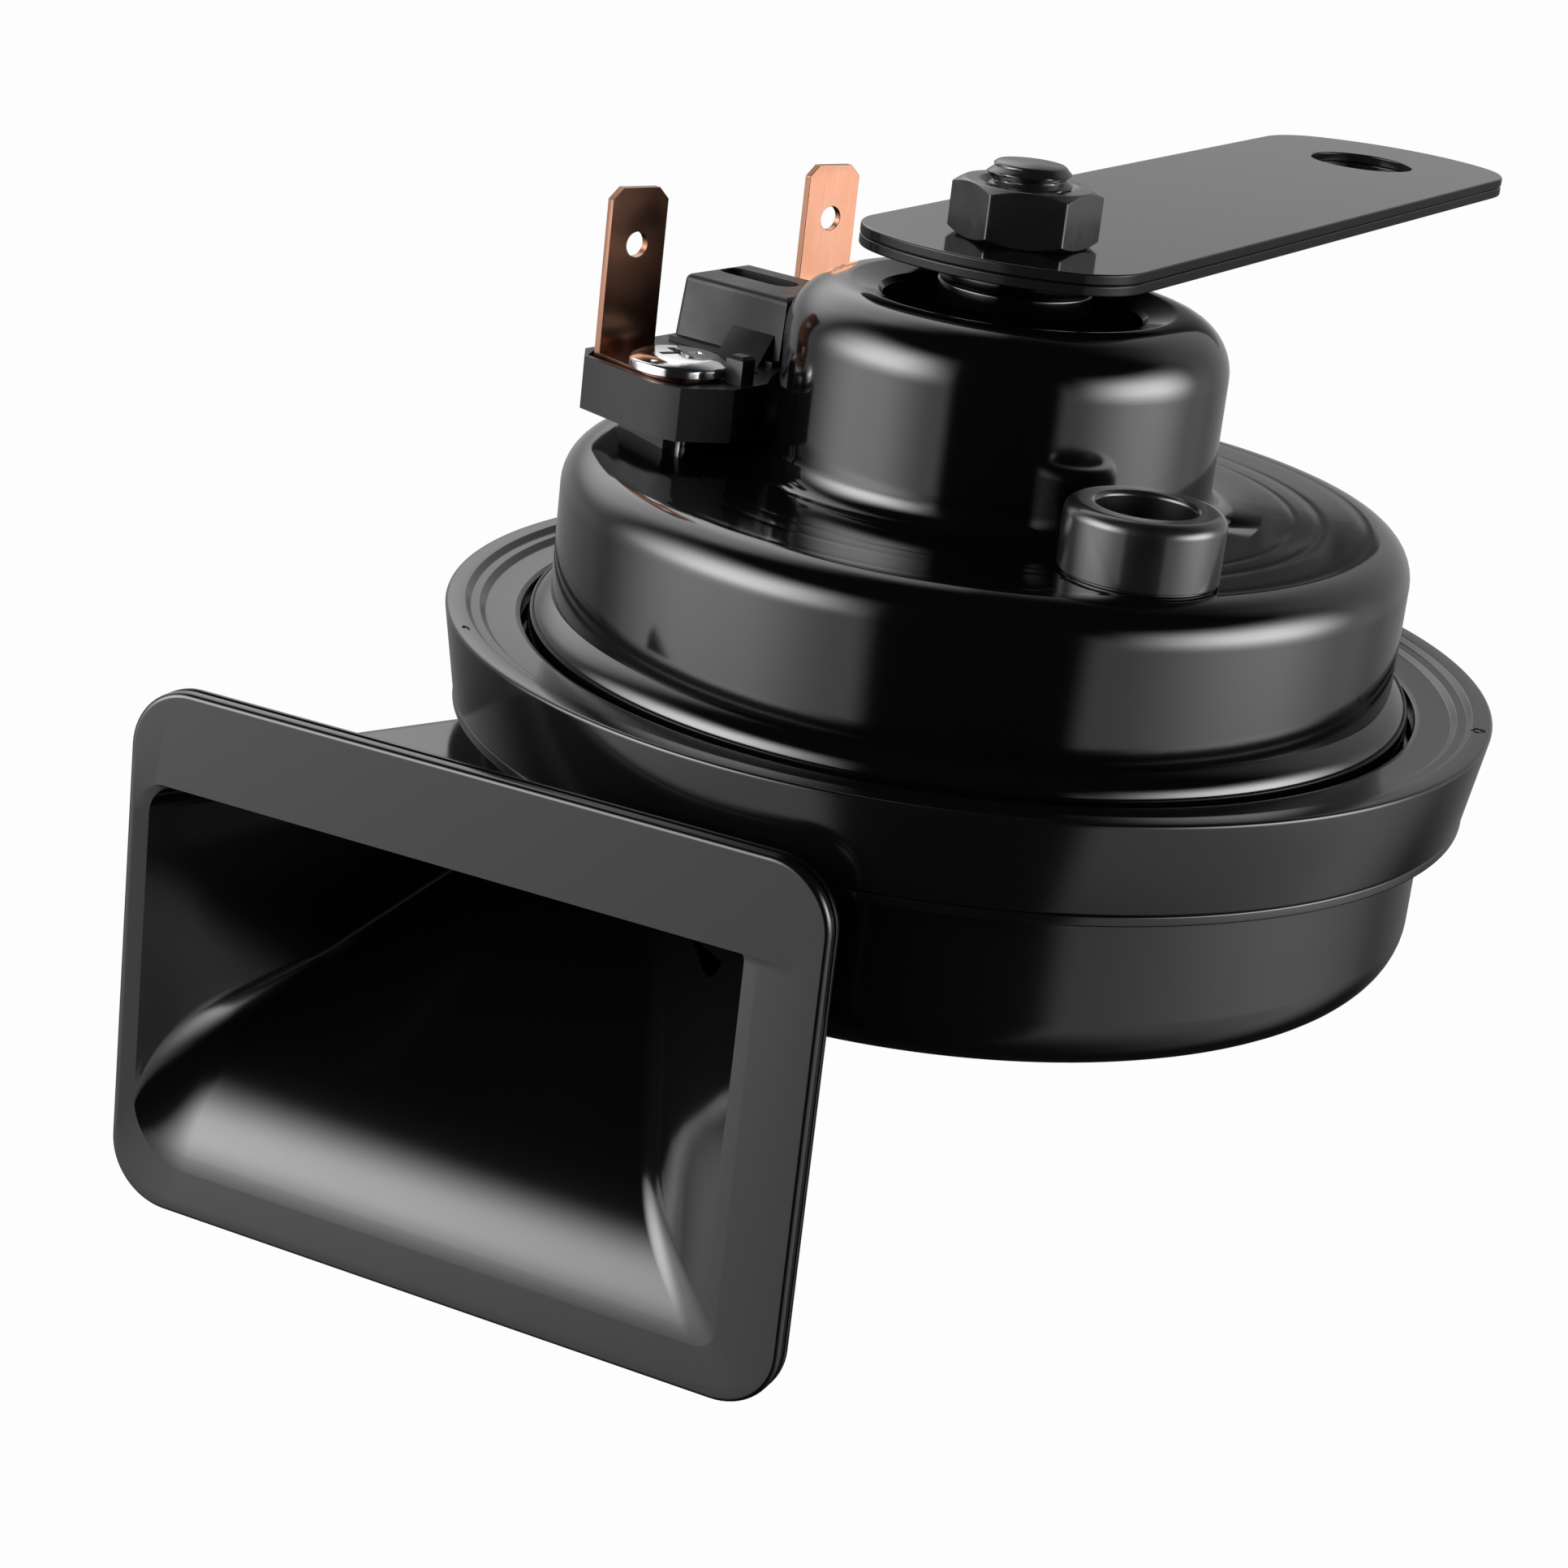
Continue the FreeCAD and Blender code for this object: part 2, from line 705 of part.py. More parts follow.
def make_adjuster_bush():
    """Threaded bush riveted into the case's lower tier."""
    bush = disc(bush_head_radius, case_top_underside - bush_head, case_top_underside, adjuster_reach, 0)
    bush = bush.fuse(disc(bush_neck_radius, case_top_underside, case_top, adjuster_reach, 0))
    bush = bush.fuse(disc(bush_rivet_radius, case_top, case_top + bush_rivet, adjuster_reach, 0))
    bore = hole(adjuster_radius + adjuster_fit, case_top_underside - bush_head, case_top + bush_rivet,
                adjuster_reach, 0)
    return on_adjuster_radius(bush.cut(bore))


def make_adjuster_collar():
    """Moulded collar round the tuning screw, rounded above and undercut at its foot."""
    top = case_top + collar_height
    steps = [(collar_hole_radius, case_top), (collar_radius - collar_foot_groove, case_top)]
    steps += [(collar_radius - collar_foot_groove, case_top + collar_foot_groove)]
    steps += [(collar_radius, case_top + collar_foot_groove)]
    steps += arc(collar_radius - collar_edge_fillet, top - collar_edge_fillet, collar_edge_fillet, 0, 90)
    steps += [(collar_hole_radius, top)]
    collar = turned(steps)
    collar.translate(FreeCAD.Vector(adjuster_reach, 0, 0))
    return on_adjuster_radius(collar)


def arm_bar(near_side, bottom, top):
    """A flat bar across the adjuster's radius, from near_side to the far side of the breaker."""
    return Part.makeBox(
        breaker_outer_reach - breaker_inner_reach, breaker_far_side - near_side, top - bottom,
        FreeCAD.Vector(breaker_inner_reach, near_side, bottom),
    )


def with_rivet_holes(shape):
    """Drills the two breaker rivets' holes through a piece of the breaker and turns it into place."""
    for reach, side in breaker_rivet_places():
        shape = shape.cut(hole(breaker_rivet_radius, clamp_plate_bottom, case_top, reach, side))
    return on_adjuster_radius(shape)


def make_breaker_base():
    """Moulded insulating post under the case roof that carries the contact arms."""
    return with_rivet_holes(arm_bar(breaker_near_side, spring_bottom + spring_sheet, case_top_underside))


def make_breaker_insulator():
    """Insulating plate between the two contact arms."""
    return with_rivet_holes(arm_bar(breaker_near_side, fixed_arm_top, spring_bottom))


def make_fixed_arm():
    """Stiff steel arm under the insulator, bent only by the tuning screw."""
    return with_rivet_holes(arm_bar(arm_end_side, fixed_arm_top - fixed_arm_sheet, fixed_arm_top))


def make_breaker_clamp_plate():
    """Steel plate that the rivets draw against the fixed arm."""
    return with_rivet_holes(arm_bar(breaker_near_side, clamp_plate_bottom, fixed_arm_top - fixed_arm_sheet))


def make_moving_spring():
    """Leaf spring: its bar carries a contact, and its cranked tongue lies over the armature's flange."""
    tip = diaphragm_top + diaphragm_gap + armature_flange + spring_lift
    profile = [
        (breaker_outer_reach, spring_bottom), (spring_knee_reach, spring_bottom), (spring_foot_reach, tip),
        (spring_tip_reach, tip), (spring_tip_reach, tip + spring_sheet),
        (spring_foot_reach + spring_sheet / 2, tip + spring_sheet),
        (spring_knee_reach + spring_sheet / 2, spring_bottom + spring_sheet),
        (breaker_outer_reach, spring_bottom + spring_sheet),
    ]
    wire = outline(profile, lambda p: FreeCAD.Vector(p[0], arm_end_side, p[1]))
    tongue = Part.Face(wire).extrude(FreeCAD.Vector(0, spring_tongue_width, 0))
    spring = arm_bar(arm_end_side, spring_bottom, spring_bottom + spring_sheet).fuse(tongue)
    screw_way = hole(adjuster_radius + spring_lift, spring_bottom, spring_bottom + spring_sheet,
                     adjuster_reach, 0)
    return with_rivet_holes(spring.cut(screw_way).removeSplitter())


def make_contact(bottom):
    """A contact button beside the tuning screw."""
    button = disc(contact_radius, bottom, bottom + contact_height, adjuster_reach, contact_side)
    return on_adjuster_radius(button)


def make_breaker_rivets():
    """Two rivets through the base, arms and clamp plate, flush with the case's lower tier."""
    head_bottom = clamp_plate_bottom - breaker_rivet_head
    rivets = []
    for reach, side in breaker_rivet_places():
        rivet = disc(breaker_rivet_radius, clamp_plate_bottom, case_top, reach, side)
        rivet = rivet.fuse(disc(breaker_rivet_head_radius, head_bottom, clamp_plate_bottom, reach, side))
        rivets.append(on_adjuster_radius(rivet))
    return Part.makeCompound(rivets)


def block_plan():
    """Plan of the terminal block: faceted ends and an inner edge that follows the upper tier."""
    hollow = tier_radius + block_inner_clearance
    inner_half = math.sqrt(hollow ** 2 - block_inner_reach ** 2)
    near = [
        (block_outer_reach, block_side_half), (block_shoulder_reach, block_shoulder_half),
        (block_end_reach, block_end_half), (block_heel_reach, block_heel_half),
        (block_inner_reach, block_side_half), (block_inner_reach, inner_half),
    ]
    far = [(reach, -side) for reach, side in reversed(near)]
    return near + [((hollow, 0), far[0])] + far[1:]


def tray_plan():
    """Plan of the shallow tray for the near terminal, inside the block's rim."""
    outer = block_outer_reach - tray_rim
    return [
        (outer, block_side_half), (block_shoulder_reach, block_shoulder_half - tray_rim / 2),
        (block_end_reach, block_end_half - tray_rim), (block_heel_reach, block_heel_half - tray_rim),
        (eyelet_inner_reach, screw_half_place), (eyelet_inner_reach, tray_near_half),
        (outer, tray_near_half),
    ]


def make_block():
    """Moulded terminal block: two trays, a battered tower with a slot, a gusset and a post."""
    block = prism(block_plan(), block_bottom, block_top)
    tray_floor = block_top - tray_depth
    near_tray = prism(tray_plan(), tray_floor, block_top + cut_margin)
    far_tray = near_tray.mirror(CENTRE, FreeCAD.Vector(0, 1, 0))
    block = block.cut(near_tray).cut(far_tray)
    foot = tower_batter
    base_wire = outline([
        (tower_inner_reach, -tower_half - foot), (tower_outer_reach + foot, -tower_half - foot),
        (tower_outer_reach + foot, tower_half + foot), (tower_inner_reach, tower_half + foot),
    ], lambda p: FreeCAD.Vector(p[0], p[1], tray_floor))
    top_wire = outline([
        (tower_inner_reach, -tower_half), (tower_outer_reach, -tower_half),
        (tower_outer_reach, tower_half), (tower_inner_reach, tower_half),
    ], lambda p: FreeCAD.Vector(p[0], p[1], tower_top))
    tower = Part.makeLoft([base_wire, top_wire], True, True)
    rounded = []
    for edge in tower.Edges:
        middle = edge.CenterOfMass
        on_top = abs(middle.z - tower_top) < touching
        if on_top or middle.x > tower_outer_reach and middle.z > block_top:
            rounded.append(edge)
    tower = tower.makeFillet(tower_fillet, rounded)
    step = Part.makeBox(
        tower_outer_reach - tower_inner_reach, 2 * (tower_half + foot + ledge_depth),
        ledge_height + tray_depth,
        FreeCAD.Vector(tower_inner_reach, -tower_half - foot - ledge_depth, tray_floor),
    )
    block = block.fuse(tower).fuse(step)
    gusset_face = tower_half + foot * (1 - gusset_rise / (tower_top - block_top))
    wire = outline([
        (0, tray_floor), (gusset_face + gusset_depth, tray_floor),
        (gusset_face, block_top + gusset_rise), (0, block_top + gusset_rise),
    ], lambda p: FreeCAD.Vector(gusset_inner_reach, p[0], p[1]))
    gusset = Part.Face(wire).extrude(FreeCAD.Vector(gusset_outer_reach - gusset_inner_reach, 0, 0))
    block = block.fuse(gusset)
    half = slot_width / 2
    near_end = slot_inner_reach + half
    far_end = slot_outer_reach - half
    slot = prism([
        (near_end, slot_offset - half), (far_end, slot_offset - half),
        ((slot_outer_reach, slot_offset), (far_end, slot_offset + half)),
        (near_end, slot_offset + half),
        ((slot_inner_reach, slot_offset), (near_end, slot_offset - half)),
    ], tower_top - slot_depth, tower_top + cut_margin)
    block = block.cut(slot)
    post_base = prism([
        (post_reach - post_side / 2, post_half_place - post_side / 2),
        (post_reach + post_side / 2, post_half_place - post_side / 2),
        (post_reach + post_side / 2, post_half_place + post_side / 2),
        (post_reach - post_side / 2, post_half_place + post_side / 2),
    ], tray_floor, block_top + post_height)
    top_edges = [edge for edge in post_base.Edges
                 if abs(edge.CenterOfMass.z - block_top - post_height) < touching]
    block = block.fuse(post_base.makeChamfer(post_chamfer, top_edges))
    for reach, side in terminal_screw_places():
        block = block.cut(hole(screw_radius + gasket_hole_clearance, block_bottom, block_top, reach, side))
    return on_block_radius(block.removeSplitter())


def make_block_gasket():
    """Rubber pad between the block and the case, with the two screw holes."""
    pad = prism([
        (gasket_inner_reach, -gasket_half), (gasket_outer_reach, gasket_taper - gasket_half),
        (gasket_outer_reach, gasket_half - gasket_taper), (gasket_inner_reach, gasket_half),
    ], case_top, block_bottom)
    for reach, side in terminal_screw_places():
        pad = pad.cut(hole(screw_radius + gasket_hole_clearance, case_top, block_bottom, reach, side))
    return on_block_radius(pad)


def make_blade(side):
    """Copper blade terminal: an upright tab and an eyelet foot under its screw."""
    turn = math.radians(blade_angle)
    along = FreeCAD.Vector(math.cos(turn), math.sin(turn), 0)
    outward = FreeCAD.Vector(math.sin(turn), -math.cos(turn), 0)
    foot_bottom = block_top - tray_depth
    place = FreeCAD.Vector(blade_reach, side * blade_half_place, 0)

    def at(width_share, height):
        return place + along * (width_share * blade_width / 2) + UP * height

    corner = 2 * blade_corner / blade_width
    tab_points = [
        at(-1, foot_bottom), at(1, foot_bottom), at(1, blade_top - blade_corner),
        at(1 - corner, blade_top), at(corner - 1, blade_top), at(-1, blade_top - blade_corner),
    ]
    tab = Part.Face(Part.makePolygon(tab_points + [tab_points[0]])).extrude(outward * blade_thickness)
    hole_place = at(0, blade_top - blade_hole_drop) - outward * cut_margin
    hole_length = blade_thickness + 2 * cut_margin
    tab = tab.cut(Part.makeCylinder(blade_hole_radius, hole_length, hole_place, outward))
    eye = FreeCAD.Vector(screw_reach, side * screw_half_place, foot_bottom)
    foot_points = [
        at(-1, foot_bottom) + outward * blade_thickness, at(1, foot_bottom) + outward * blade_thickness,
        eye + along * eyelet_radius, eye - along * eyelet_radius,
    ]
    foot = Part.Face(Part.makePolygon(foot_points + [foot_points[0]])).extrude(UP * blade_thickness)
    foot = foot.fuse(disc(eyelet_radius, foot_bottom, foot_bottom + blade_thickness, eye.x, eye.y))
    foot = foot.cut(hole(screw_radius + gasket_hole_clearance, foot_bottom, blade_foot_top, eye.x, eye.y))
    return on_block_radius(tab.fuse(foot).removeSplitter())


def make_terminal_screws():
    """Two low-headed screws with a cross recess."""
    screws = []
    rim_top = blade_foot_top + screw_head_rim
    for reach, side in terminal_screw_places():
        steps = [
            (0, screw_foot), (screw_radius, screw_foot), (screw_radius, blade_foot_top),
            (screw_head_radius, blade_foot_top), (screw_head_radius, rim_top),
            (screw_crown_radius, rim_top + screw_head_crown), (0, rim_top + screw_head_crown),
        ]
        screw = turned(steps)
        recess_bottom = rim_top + screw_head_crown - screw_cross_depth
        cross = (screw_cross_length, screw_cross_width)
        for length, width in (cross, cross[::-1]):
            screw = screw.cut(Part.makeBox(length, width, screw_cross_depth + cut_margin,
                                           FreeCAD.Vector(-length / 2, -width / 2, recess_bottom)))
        screw.translate(FreeCAD.Vector(reach, side, 0))
        screws.append(on_block_radius(screw))
    return Part.makeCompound(screws)


def make_terminal_insulators():
    """Shouldered bushes that keep the terminal screws off the case."""
    bushes = []
    for reach, side in terminal_screw_places():
        bush = disc(insulator_radius, case_top_underside, case_top, reach, side)
        bush = bush.fuse(disc(insulator_washer_radius, case_top_underside - insulator_washer,
                              case_top_underside, reach, side))
        bush = bush.cut(hole(screw_radius, case_top_underside - insulator_washer, case_top, reach, side))
        bushes.append(on_block_radius(bush))
    return Part.makeCompound(bushes)


def make_terminal_nuts():
    """Hexagon nuts on the terminal screws, inside the case."""
    nuts = []
    top = case_top_underside - insulator_washer
    for reach, side in terminal_screw_places():
        nut = hexagon(terminal_nut_flats, top - terminal_nut_height, top, 0, reach, side)
        bore = hole(screw_radius, top - terminal_nut_height, top, reach, side)
        nuts.append(on_block_radius(nut.cut(bore)))
    return Part.makeCompound(nuts)


def make_washer(bottom, height):
    """A turned washer on the stud."""
    top = bottom + height
    return turned([
        (stud_hole_radius, bottom), (washer_radius, bottom), (washer_radius, top - washer_edge),
        (washer_radius - washer_edge, top), (stud_hole_radius, top),
    ])


def leaf_end(reach, forward):
    """Corner points and arcs of one rounded leaf end."""
    nose_centre = reach - leaf_nose_radius
    tangent_centre = leaf_half_width - leaf_corner
    link = math.sqrt((leaf_nose_radius - leaf_corner) ** 2 - tangent_centre ** 2)
    angle = math.degrees(math.atan2(tangent_centre, link))
    corner_centre = nose_centre + link
    steps = arc(tangent_centre, corner_centre, leaf_corner, 0, 90 - angle)
    steps += arc(0, nose_centre, leaf_nose_radius, 90 - angle, 90 + angle)[1:]
    steps += arc(-tangent_centre, corner_centre, leaf_corner, 90 + angle, 180)[1:]
    if forward:
        return steps
    flipped = []
    for step in steps:
        if isinstance(step[0], tuple):
            flipped.append(tuple((-p[0], -p[1]) for p in step))
        else:
            flipped.append((-step[0], -step[1]))
    return flipped


def make_leaf(bottom):
    """One bracket leaf: a spring steel strip with a stud hole and a bolt hole."""
    plan = leaf_end(leaf_reach, True) + leaf_end(leaf_tail, False)
    leaf = prism(plan, bottom, bottom + leaf_sheet)
    leaf = leaf.cut(hole(stud_hole_radius, bottom, bottom + leaf_sheet))
    leaf = leaf.cut(hole(bolt_hole_radius, bottom, bottom + leaf_sheet, 0, bolt_reach))
    return turn_about_axis(leaf, -leaf_turn)


def make_nut():
    """Hexagon nut, chamfered on both faces, with a countersunk bore."""
    top = nut_bottom + nut_height
    corner = nut_flats / math.sqrt(3)
    face = nut_flats / 2
    blank = hexagon(nut_flats, nut_bottom, top, nut_turn)
    envelope = turned([
        (0, nut_bottom), (face, nut_bottom), (corner, nut_bottom + nut_chamfer),
        (corner, top - nut_chamfer), (face, top), (0, top),
    ])
    bore = turned([
        (0, nut_bottom - cut_margin), (nut_bore_radius, nut_bottom - cut_margin),
        (nut_bore_radius, top - nut_countersink_radius + nut_bore_radius),
        (nut_countersink_radius, top), (nut_countersink_radius, top + cut_margin), (0, top + cut_margin),
    ])
    return blank.common(envelope).cut(bore)


os.makedirs("parts", exist_ok=True)
gasket_inner = case_flange_radius - gasket_width
save("case", make_case())
save("clamp_ring", make_clamp_ring())
save("trumpet_cover", make_cover())
save("trumpet_shell", make_trumpet())
save("throat_plate", make_throat_plate())
save("diaphragm_gasket_upper",
     ring(case_flange_radius, gasket_inner, diaphragm_top, case_flange_underside))
diaphragm_hole = rivet_shank_radius + rivet_hole_clearance
save("diaphragm", ring(case_flange_radius, diaphragm_hole, diaphragm_underside, diaphragm_top))
save("diaphragm_gasket_lower",
     ring(case_flange_radius, gasket_inner, clamp_lower_face, diaphragm_underside))
save("fixed_core", make_core())
save("armature", make_armature())
save("armature_rivet", make_armature_rivet())
save("coil_bobbin", make_bobbin())
save("coil_winding", make_winding())
save("adjusting_screw", make_adjusting_screw())
save("adjuster_bush", make_adjuster_bush())
save("adjuster_collar", make_adjuster_collar())
save("breaker_base", make_breaker_base())
save("breaker_insulator", make_breaker_insulator())
save("breaker_clamp_plate", make_breaker_clamp_plate())
save("breaker_rivets", make_breaker_rivets())
save("fixed_contact_arm", make_fixed_arm())
save("fixed_contact", make_contact(fixed_arm_top))
save("moving_contact", make_contact(fixed_arm_top + contact_height))
save("moving_contact_spring", make_moving_spring())
save("terminal_block", make_block())
save("terminal_gasket", make_block_gasket())
save("blade_terminal_left", make_blade(1))
save("blade_terminal_right", make_blade(-1))
save("terminal_screws", make_terminal_screws())
save("terminal_insulators", make_terminal_insulators())
save("terminal_nuts", make_terminal_nuts())
save("stud_washer_lower", make_washer(recess_floor, lower_washer_height))
save("stud_washer_upper", make_washer(recess_floor + lower_washer_height, upper_washer_height))
save("bracket_lower_leaf", make_leaf(leaf_bottom))
save("bracket_upper_leaf", make_leaf(leaf_bottom + leaf_sheet))
save("hex_nut", make_nut())
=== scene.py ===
# A black disc horn with a moulded snail trumpet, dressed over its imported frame.
# Shapes are worked out in millimetres about the horn's own axis: z = 0 on the cover's rim, with the
# mouth towards -Y. to_frame() carries them to the frame, whose origin is the bracket's bolt hole.
import json
import math

import bmesh
import bpy
import numpy as np
from mathutils import Matrix, Vector


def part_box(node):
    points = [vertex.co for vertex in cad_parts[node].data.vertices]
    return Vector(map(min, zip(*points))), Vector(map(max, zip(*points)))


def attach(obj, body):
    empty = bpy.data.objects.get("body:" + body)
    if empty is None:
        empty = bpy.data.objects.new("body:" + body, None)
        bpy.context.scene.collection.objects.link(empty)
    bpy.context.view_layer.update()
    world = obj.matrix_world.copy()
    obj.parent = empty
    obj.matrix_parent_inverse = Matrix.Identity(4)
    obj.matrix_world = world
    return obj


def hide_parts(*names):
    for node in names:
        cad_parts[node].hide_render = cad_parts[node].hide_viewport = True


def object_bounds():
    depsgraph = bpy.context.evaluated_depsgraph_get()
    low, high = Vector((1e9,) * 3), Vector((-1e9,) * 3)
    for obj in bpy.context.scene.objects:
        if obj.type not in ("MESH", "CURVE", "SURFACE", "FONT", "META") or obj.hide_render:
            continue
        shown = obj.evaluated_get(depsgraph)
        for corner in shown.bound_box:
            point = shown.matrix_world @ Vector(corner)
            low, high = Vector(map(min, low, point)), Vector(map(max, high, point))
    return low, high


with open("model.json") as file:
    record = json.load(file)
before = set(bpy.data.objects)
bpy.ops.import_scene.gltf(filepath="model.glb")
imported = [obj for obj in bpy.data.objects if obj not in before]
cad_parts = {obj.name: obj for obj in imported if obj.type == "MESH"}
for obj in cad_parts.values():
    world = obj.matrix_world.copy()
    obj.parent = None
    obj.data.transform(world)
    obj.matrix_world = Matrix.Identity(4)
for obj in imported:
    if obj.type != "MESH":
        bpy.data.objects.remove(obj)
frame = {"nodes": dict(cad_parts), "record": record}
cad_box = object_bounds()

MM = 0.001
cover_low, cover_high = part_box("trumpet_cover")
horn_axis = np.array([(cover_low.x + cover_high.x) / 2, (cover_low.y + cover_high.y) / 2, cover_high.z])


def to_frame(points):
    """Horn millimetres to the frame's metres: a shift by the axis and a factor of a thousand."""
    return points * MM + horn_axis


def span(node):
    """Lowest and highest corner of a node in horn millimetres."""
    low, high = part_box(node)
    return (np.array(low) - horn_axis) / MM, (np.array(high) - horn_axis) / MM


# Measures of the case and its stud, in horn millimetres. case_top is the lower tier's top, the
# flange step is how far the foot stands in from the clamped flange's edge, and the washers' seat
# is sunk in the upper tier's top.
case_low, case_high = span("case")
case_sheet = 1.2
case_radius = 39.5
case_top = 15.3
case_flange_radius = case_high[0]
case_flange_step = 3.2
lip_level = -0.925
tier_radius = 20.4
tier_top = case_high[2]
enamel_build = 0.03
stud_hole_radius = 4.2
stud_radius = 3.95
seat_radius = 12.4
seat_sink = 1.0


# Outlines and grids

def profile(corners, closed=True, fillet=0.12, step=7.0):
    """Points of a (radius, height) outline with its corners rounded.

    A corner is (r, z) or (r, z, R). Its arc of radius R touches both runs R*tan(turn/2) from the
    corner and has a point every step degrees. Where two arcs would overlap on a run, both shrink
    and leave a fiftieth of it straight.
    """
    places = np.array([corner[:2] for corner in corners], float)
    radii = np.array([corner[2] if len(corner) > 2 else fillet for corner in corners])
    if not closed:
        radii[[0, -1]] = 0.0
    onward = np.roll(places, -1, axis=0) - places
    runs = np.linalg.norm(onward, axis=1)
    after = onward / runs[:, None]
    before = np.roll(after, 1, axis=0)
    cross = before[:, 0] * after[:, 1] - before[:, 1] * after[:, 0]
    turns = np.arctan2(cross, (before * after).sum(axis=1))
    wished = radii * np.tan(np.abs(turns) / 2)
    fit = np.minimum(1, 0.98 * runs / np.maximum(wished + np.roll(wished, -1), 1e-9))
    reaches = wished * np.minimum(fit, np.roll(fit, 1))
    points = []
    for here, way, turn, reach in zip(places, before, turns, reaches):
        if reach < 1e-6:
            points.append(here[None])
            continue
        radius = reach / math.tan(abs(turn) / 2)
        inward = math.copysign(1, turn) * np.array([-way[1], way[0]])
        centre = here - way * reach + inward * radius
        angles = np.linspace(0, turn, max(3, int(math.degrees(abs(turn)) / step) + 1))
        x, z = -inward * radius
        arc = np.stack([x * np.cos(angles) - z * np.sin(angles),
                        x * np.sin(angles) + z * np.cos(angles)], 1)
        points.append(centre + arc)
    return np.concatenate(points)


def lathe(outline, steps, centre=(0.0, 0.0)):
    """Turns an outline about an upright line: row i is its point i, column j is at angle 2*pi*j/steps."""
    angles = np.linspace(0, 2 * np.pi, steps, endpoint=False)
    radius, height = outline[:, :1], outline[:, 1:]
    return np.stack([
        centre[0] + radius * np.cos(angles), centre[1] + radius * np.sin(angles), height + 0 * angles,
    ], axis=2)


def grid_mesh(name, grid, closed=True, capped=False):
    """A mesh of a grid of points, closed across its columns, and across its rows where closed.

    Rows that shrink to a pole are merged there, and capped fills the first and last rows.
    """
    rows, columns = grid.shape[:2]
    row = np.arange(rows if closed else rows - 1)[:, None]
    column = np.arange(columns)
    next_row, next_column = (row + 1) % rows, (column + 1) % columns
    faces = np.stack([
        row * columns + column, row * columns + next_column,
        next_row * columns + next_column, next_row * columns + column,
    ], axis=2).reshape(-1, 4).tolist()
    if capped:
        faces += [column.tolist(), (column + (rows - 1) * columns).tolist()]
    mesh = bpy.data.meshes.new(name)
    mesh.from_pydata(to_frame(grid.reshape(-1, 3)).tolist(), [], faces)
    work = bmesh.new()
    work.from_mesh(mesh)
    weld = 0.0005 * MM
    bmesh.ops.remove_doubles(work, verts=work.verts, dist=weld)
    bmesh.ops.recalc_face_normals(work, faces=work.faces)
    work.to_mesh(mesh)
    work.free()
    return mesh


def carve(mesh, tool):
    """The first closed mesh less the second, as a plain mesh."""
    objects = [bpy.data.objects.new(part.name, part) for part in (mesh, tool)]
    for part in objects:
        bpy.context.scene.collection.objects.link(part)
    modifier = objects[0].modifiers.new("carve", "BOOLEAN")
    modifier.operation = "DIFFERENCE"
    modifier.solver = "EXACT"
    modifier.object = objects[1]
    graph = bpy.context.evaluated_depsgraph_get()
    carved = bpy.data.meshes.new_from_object(objects[0].evaluated_get(graph))
    carved.name = mesh.name
    for part in objects:
        bpy.data.objects.remove(part)
    return carved


def whole_copy(node):
    """A merged copy of a node's loose triangles, with each flat face made whole again."""
    work = bmesh.new()
    work.from_mesh(frame["nodes"][node].data)
    weld, flat_turn = 0.001 * MM, math.radians(0.3)
    bmesh.ops.remove_doubles(work, verts=work.verts, dist=weld)
    bmesh.ops.dissolve_limit(work, angle_limit=flat_turn, verts=work.verts, edges=work.edges)
    mesh = bpy.data.meshes.new(node)
    work.to_mesh(mesh)
    work.free()
    return mesh


def place(name, mesh, finish, *nodes, bevel=0.0, sharp=35.0):
    """Makes a finished piece: smooth but for its sharp edges, riding the root in place of its nodes."""
    piece = bpy.data.objects.new(name, mesh)
    bpy.context.scene.collection.objects.link(piece)
    mesh.materials.clear()
    mesh.materials.append(finishes[finish])
    mesh.shade_smooth()
    mesh.set_sharp_from_angle(angle=math.radians(sharp))
    if bevel:
        edge = piece.modifiers.new("edges", "BEVEL")
        edge.width = bevel * MM
        edge.segments = 3
        edge.limit_method = "ANGLE"
        edge.angle_limit = math.radians(sharp)
        edge.harden_normals = True
    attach(piece, "root")
    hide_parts(*nodes)
    return piece


# Finishes

def linear(hex_colour):
    """An sRGB hex colour as a linear RGBA tuple."""
    shares = [int(hex_colour[i:i + 2], 16) / 255 for i in (0, 2, 4)]
    return tuple(s / 12.92 if s <= 0.04045 else ((s + 0.055) / 1.055) ** 2.4 for s in shares) + (1.0,)


def add(tree, kind, inputs, **settings):
    """Adds a node with its settings, and links or fills its inputs by name or number."""
    node = tree.nodes.new(kind)
    for name, value in settings.items():
        setattr(node, name, value)
    for name, value in inputs.items():
        if isinstance(value, bpy.types.NodeSocket):
            tree.links.new(value, node.inputs[name])
        else:
            node.inputs[name].default_value = value
    return node


def start_finish(name):
    """A material with an empty tree, and its object coordinates."""
    material = bpy.data.materials.new(name)
    material.use_nodes = True
    tree = material.node_tree
    tree.nodes.clear()
    return material, tree, add(tree, "ShaderNodeTexCoord", {}).outputs["Object"]


def end_finish(tree, **sockets):
    """The shader and the output that close a finish's tree."""
    names = {name.replace("_", " "): value for name, value in sockets.items()}
    shader = add(tree, "ShaderNodeBsdfPrincipled", names)
    add(tree, "ShaderNodeOutputMaterial", {"Surface": shader.outputs["BSDF"]})


def patches(tree, position, size, low, high, detail=3.0):
    """A value that wanders from low to high over patches of a size in millimetres.

    The noise's usual range, 0.3 to 0.7, is spread over them.
    """
    noise = add(tree, "ShaderNodeTexNoise",
                {"Vector": position, "Scale": 1 / (size * MM), "Detail": detail})
    spread = add(tree, "ShaderNodeMapRange", {
        "Value": noise.outputs["Fac"], "From Min": 0.3, "From Max": 0.7, "To Min": low, "To Max": high,
    })
    return spread.outputs["Result"]


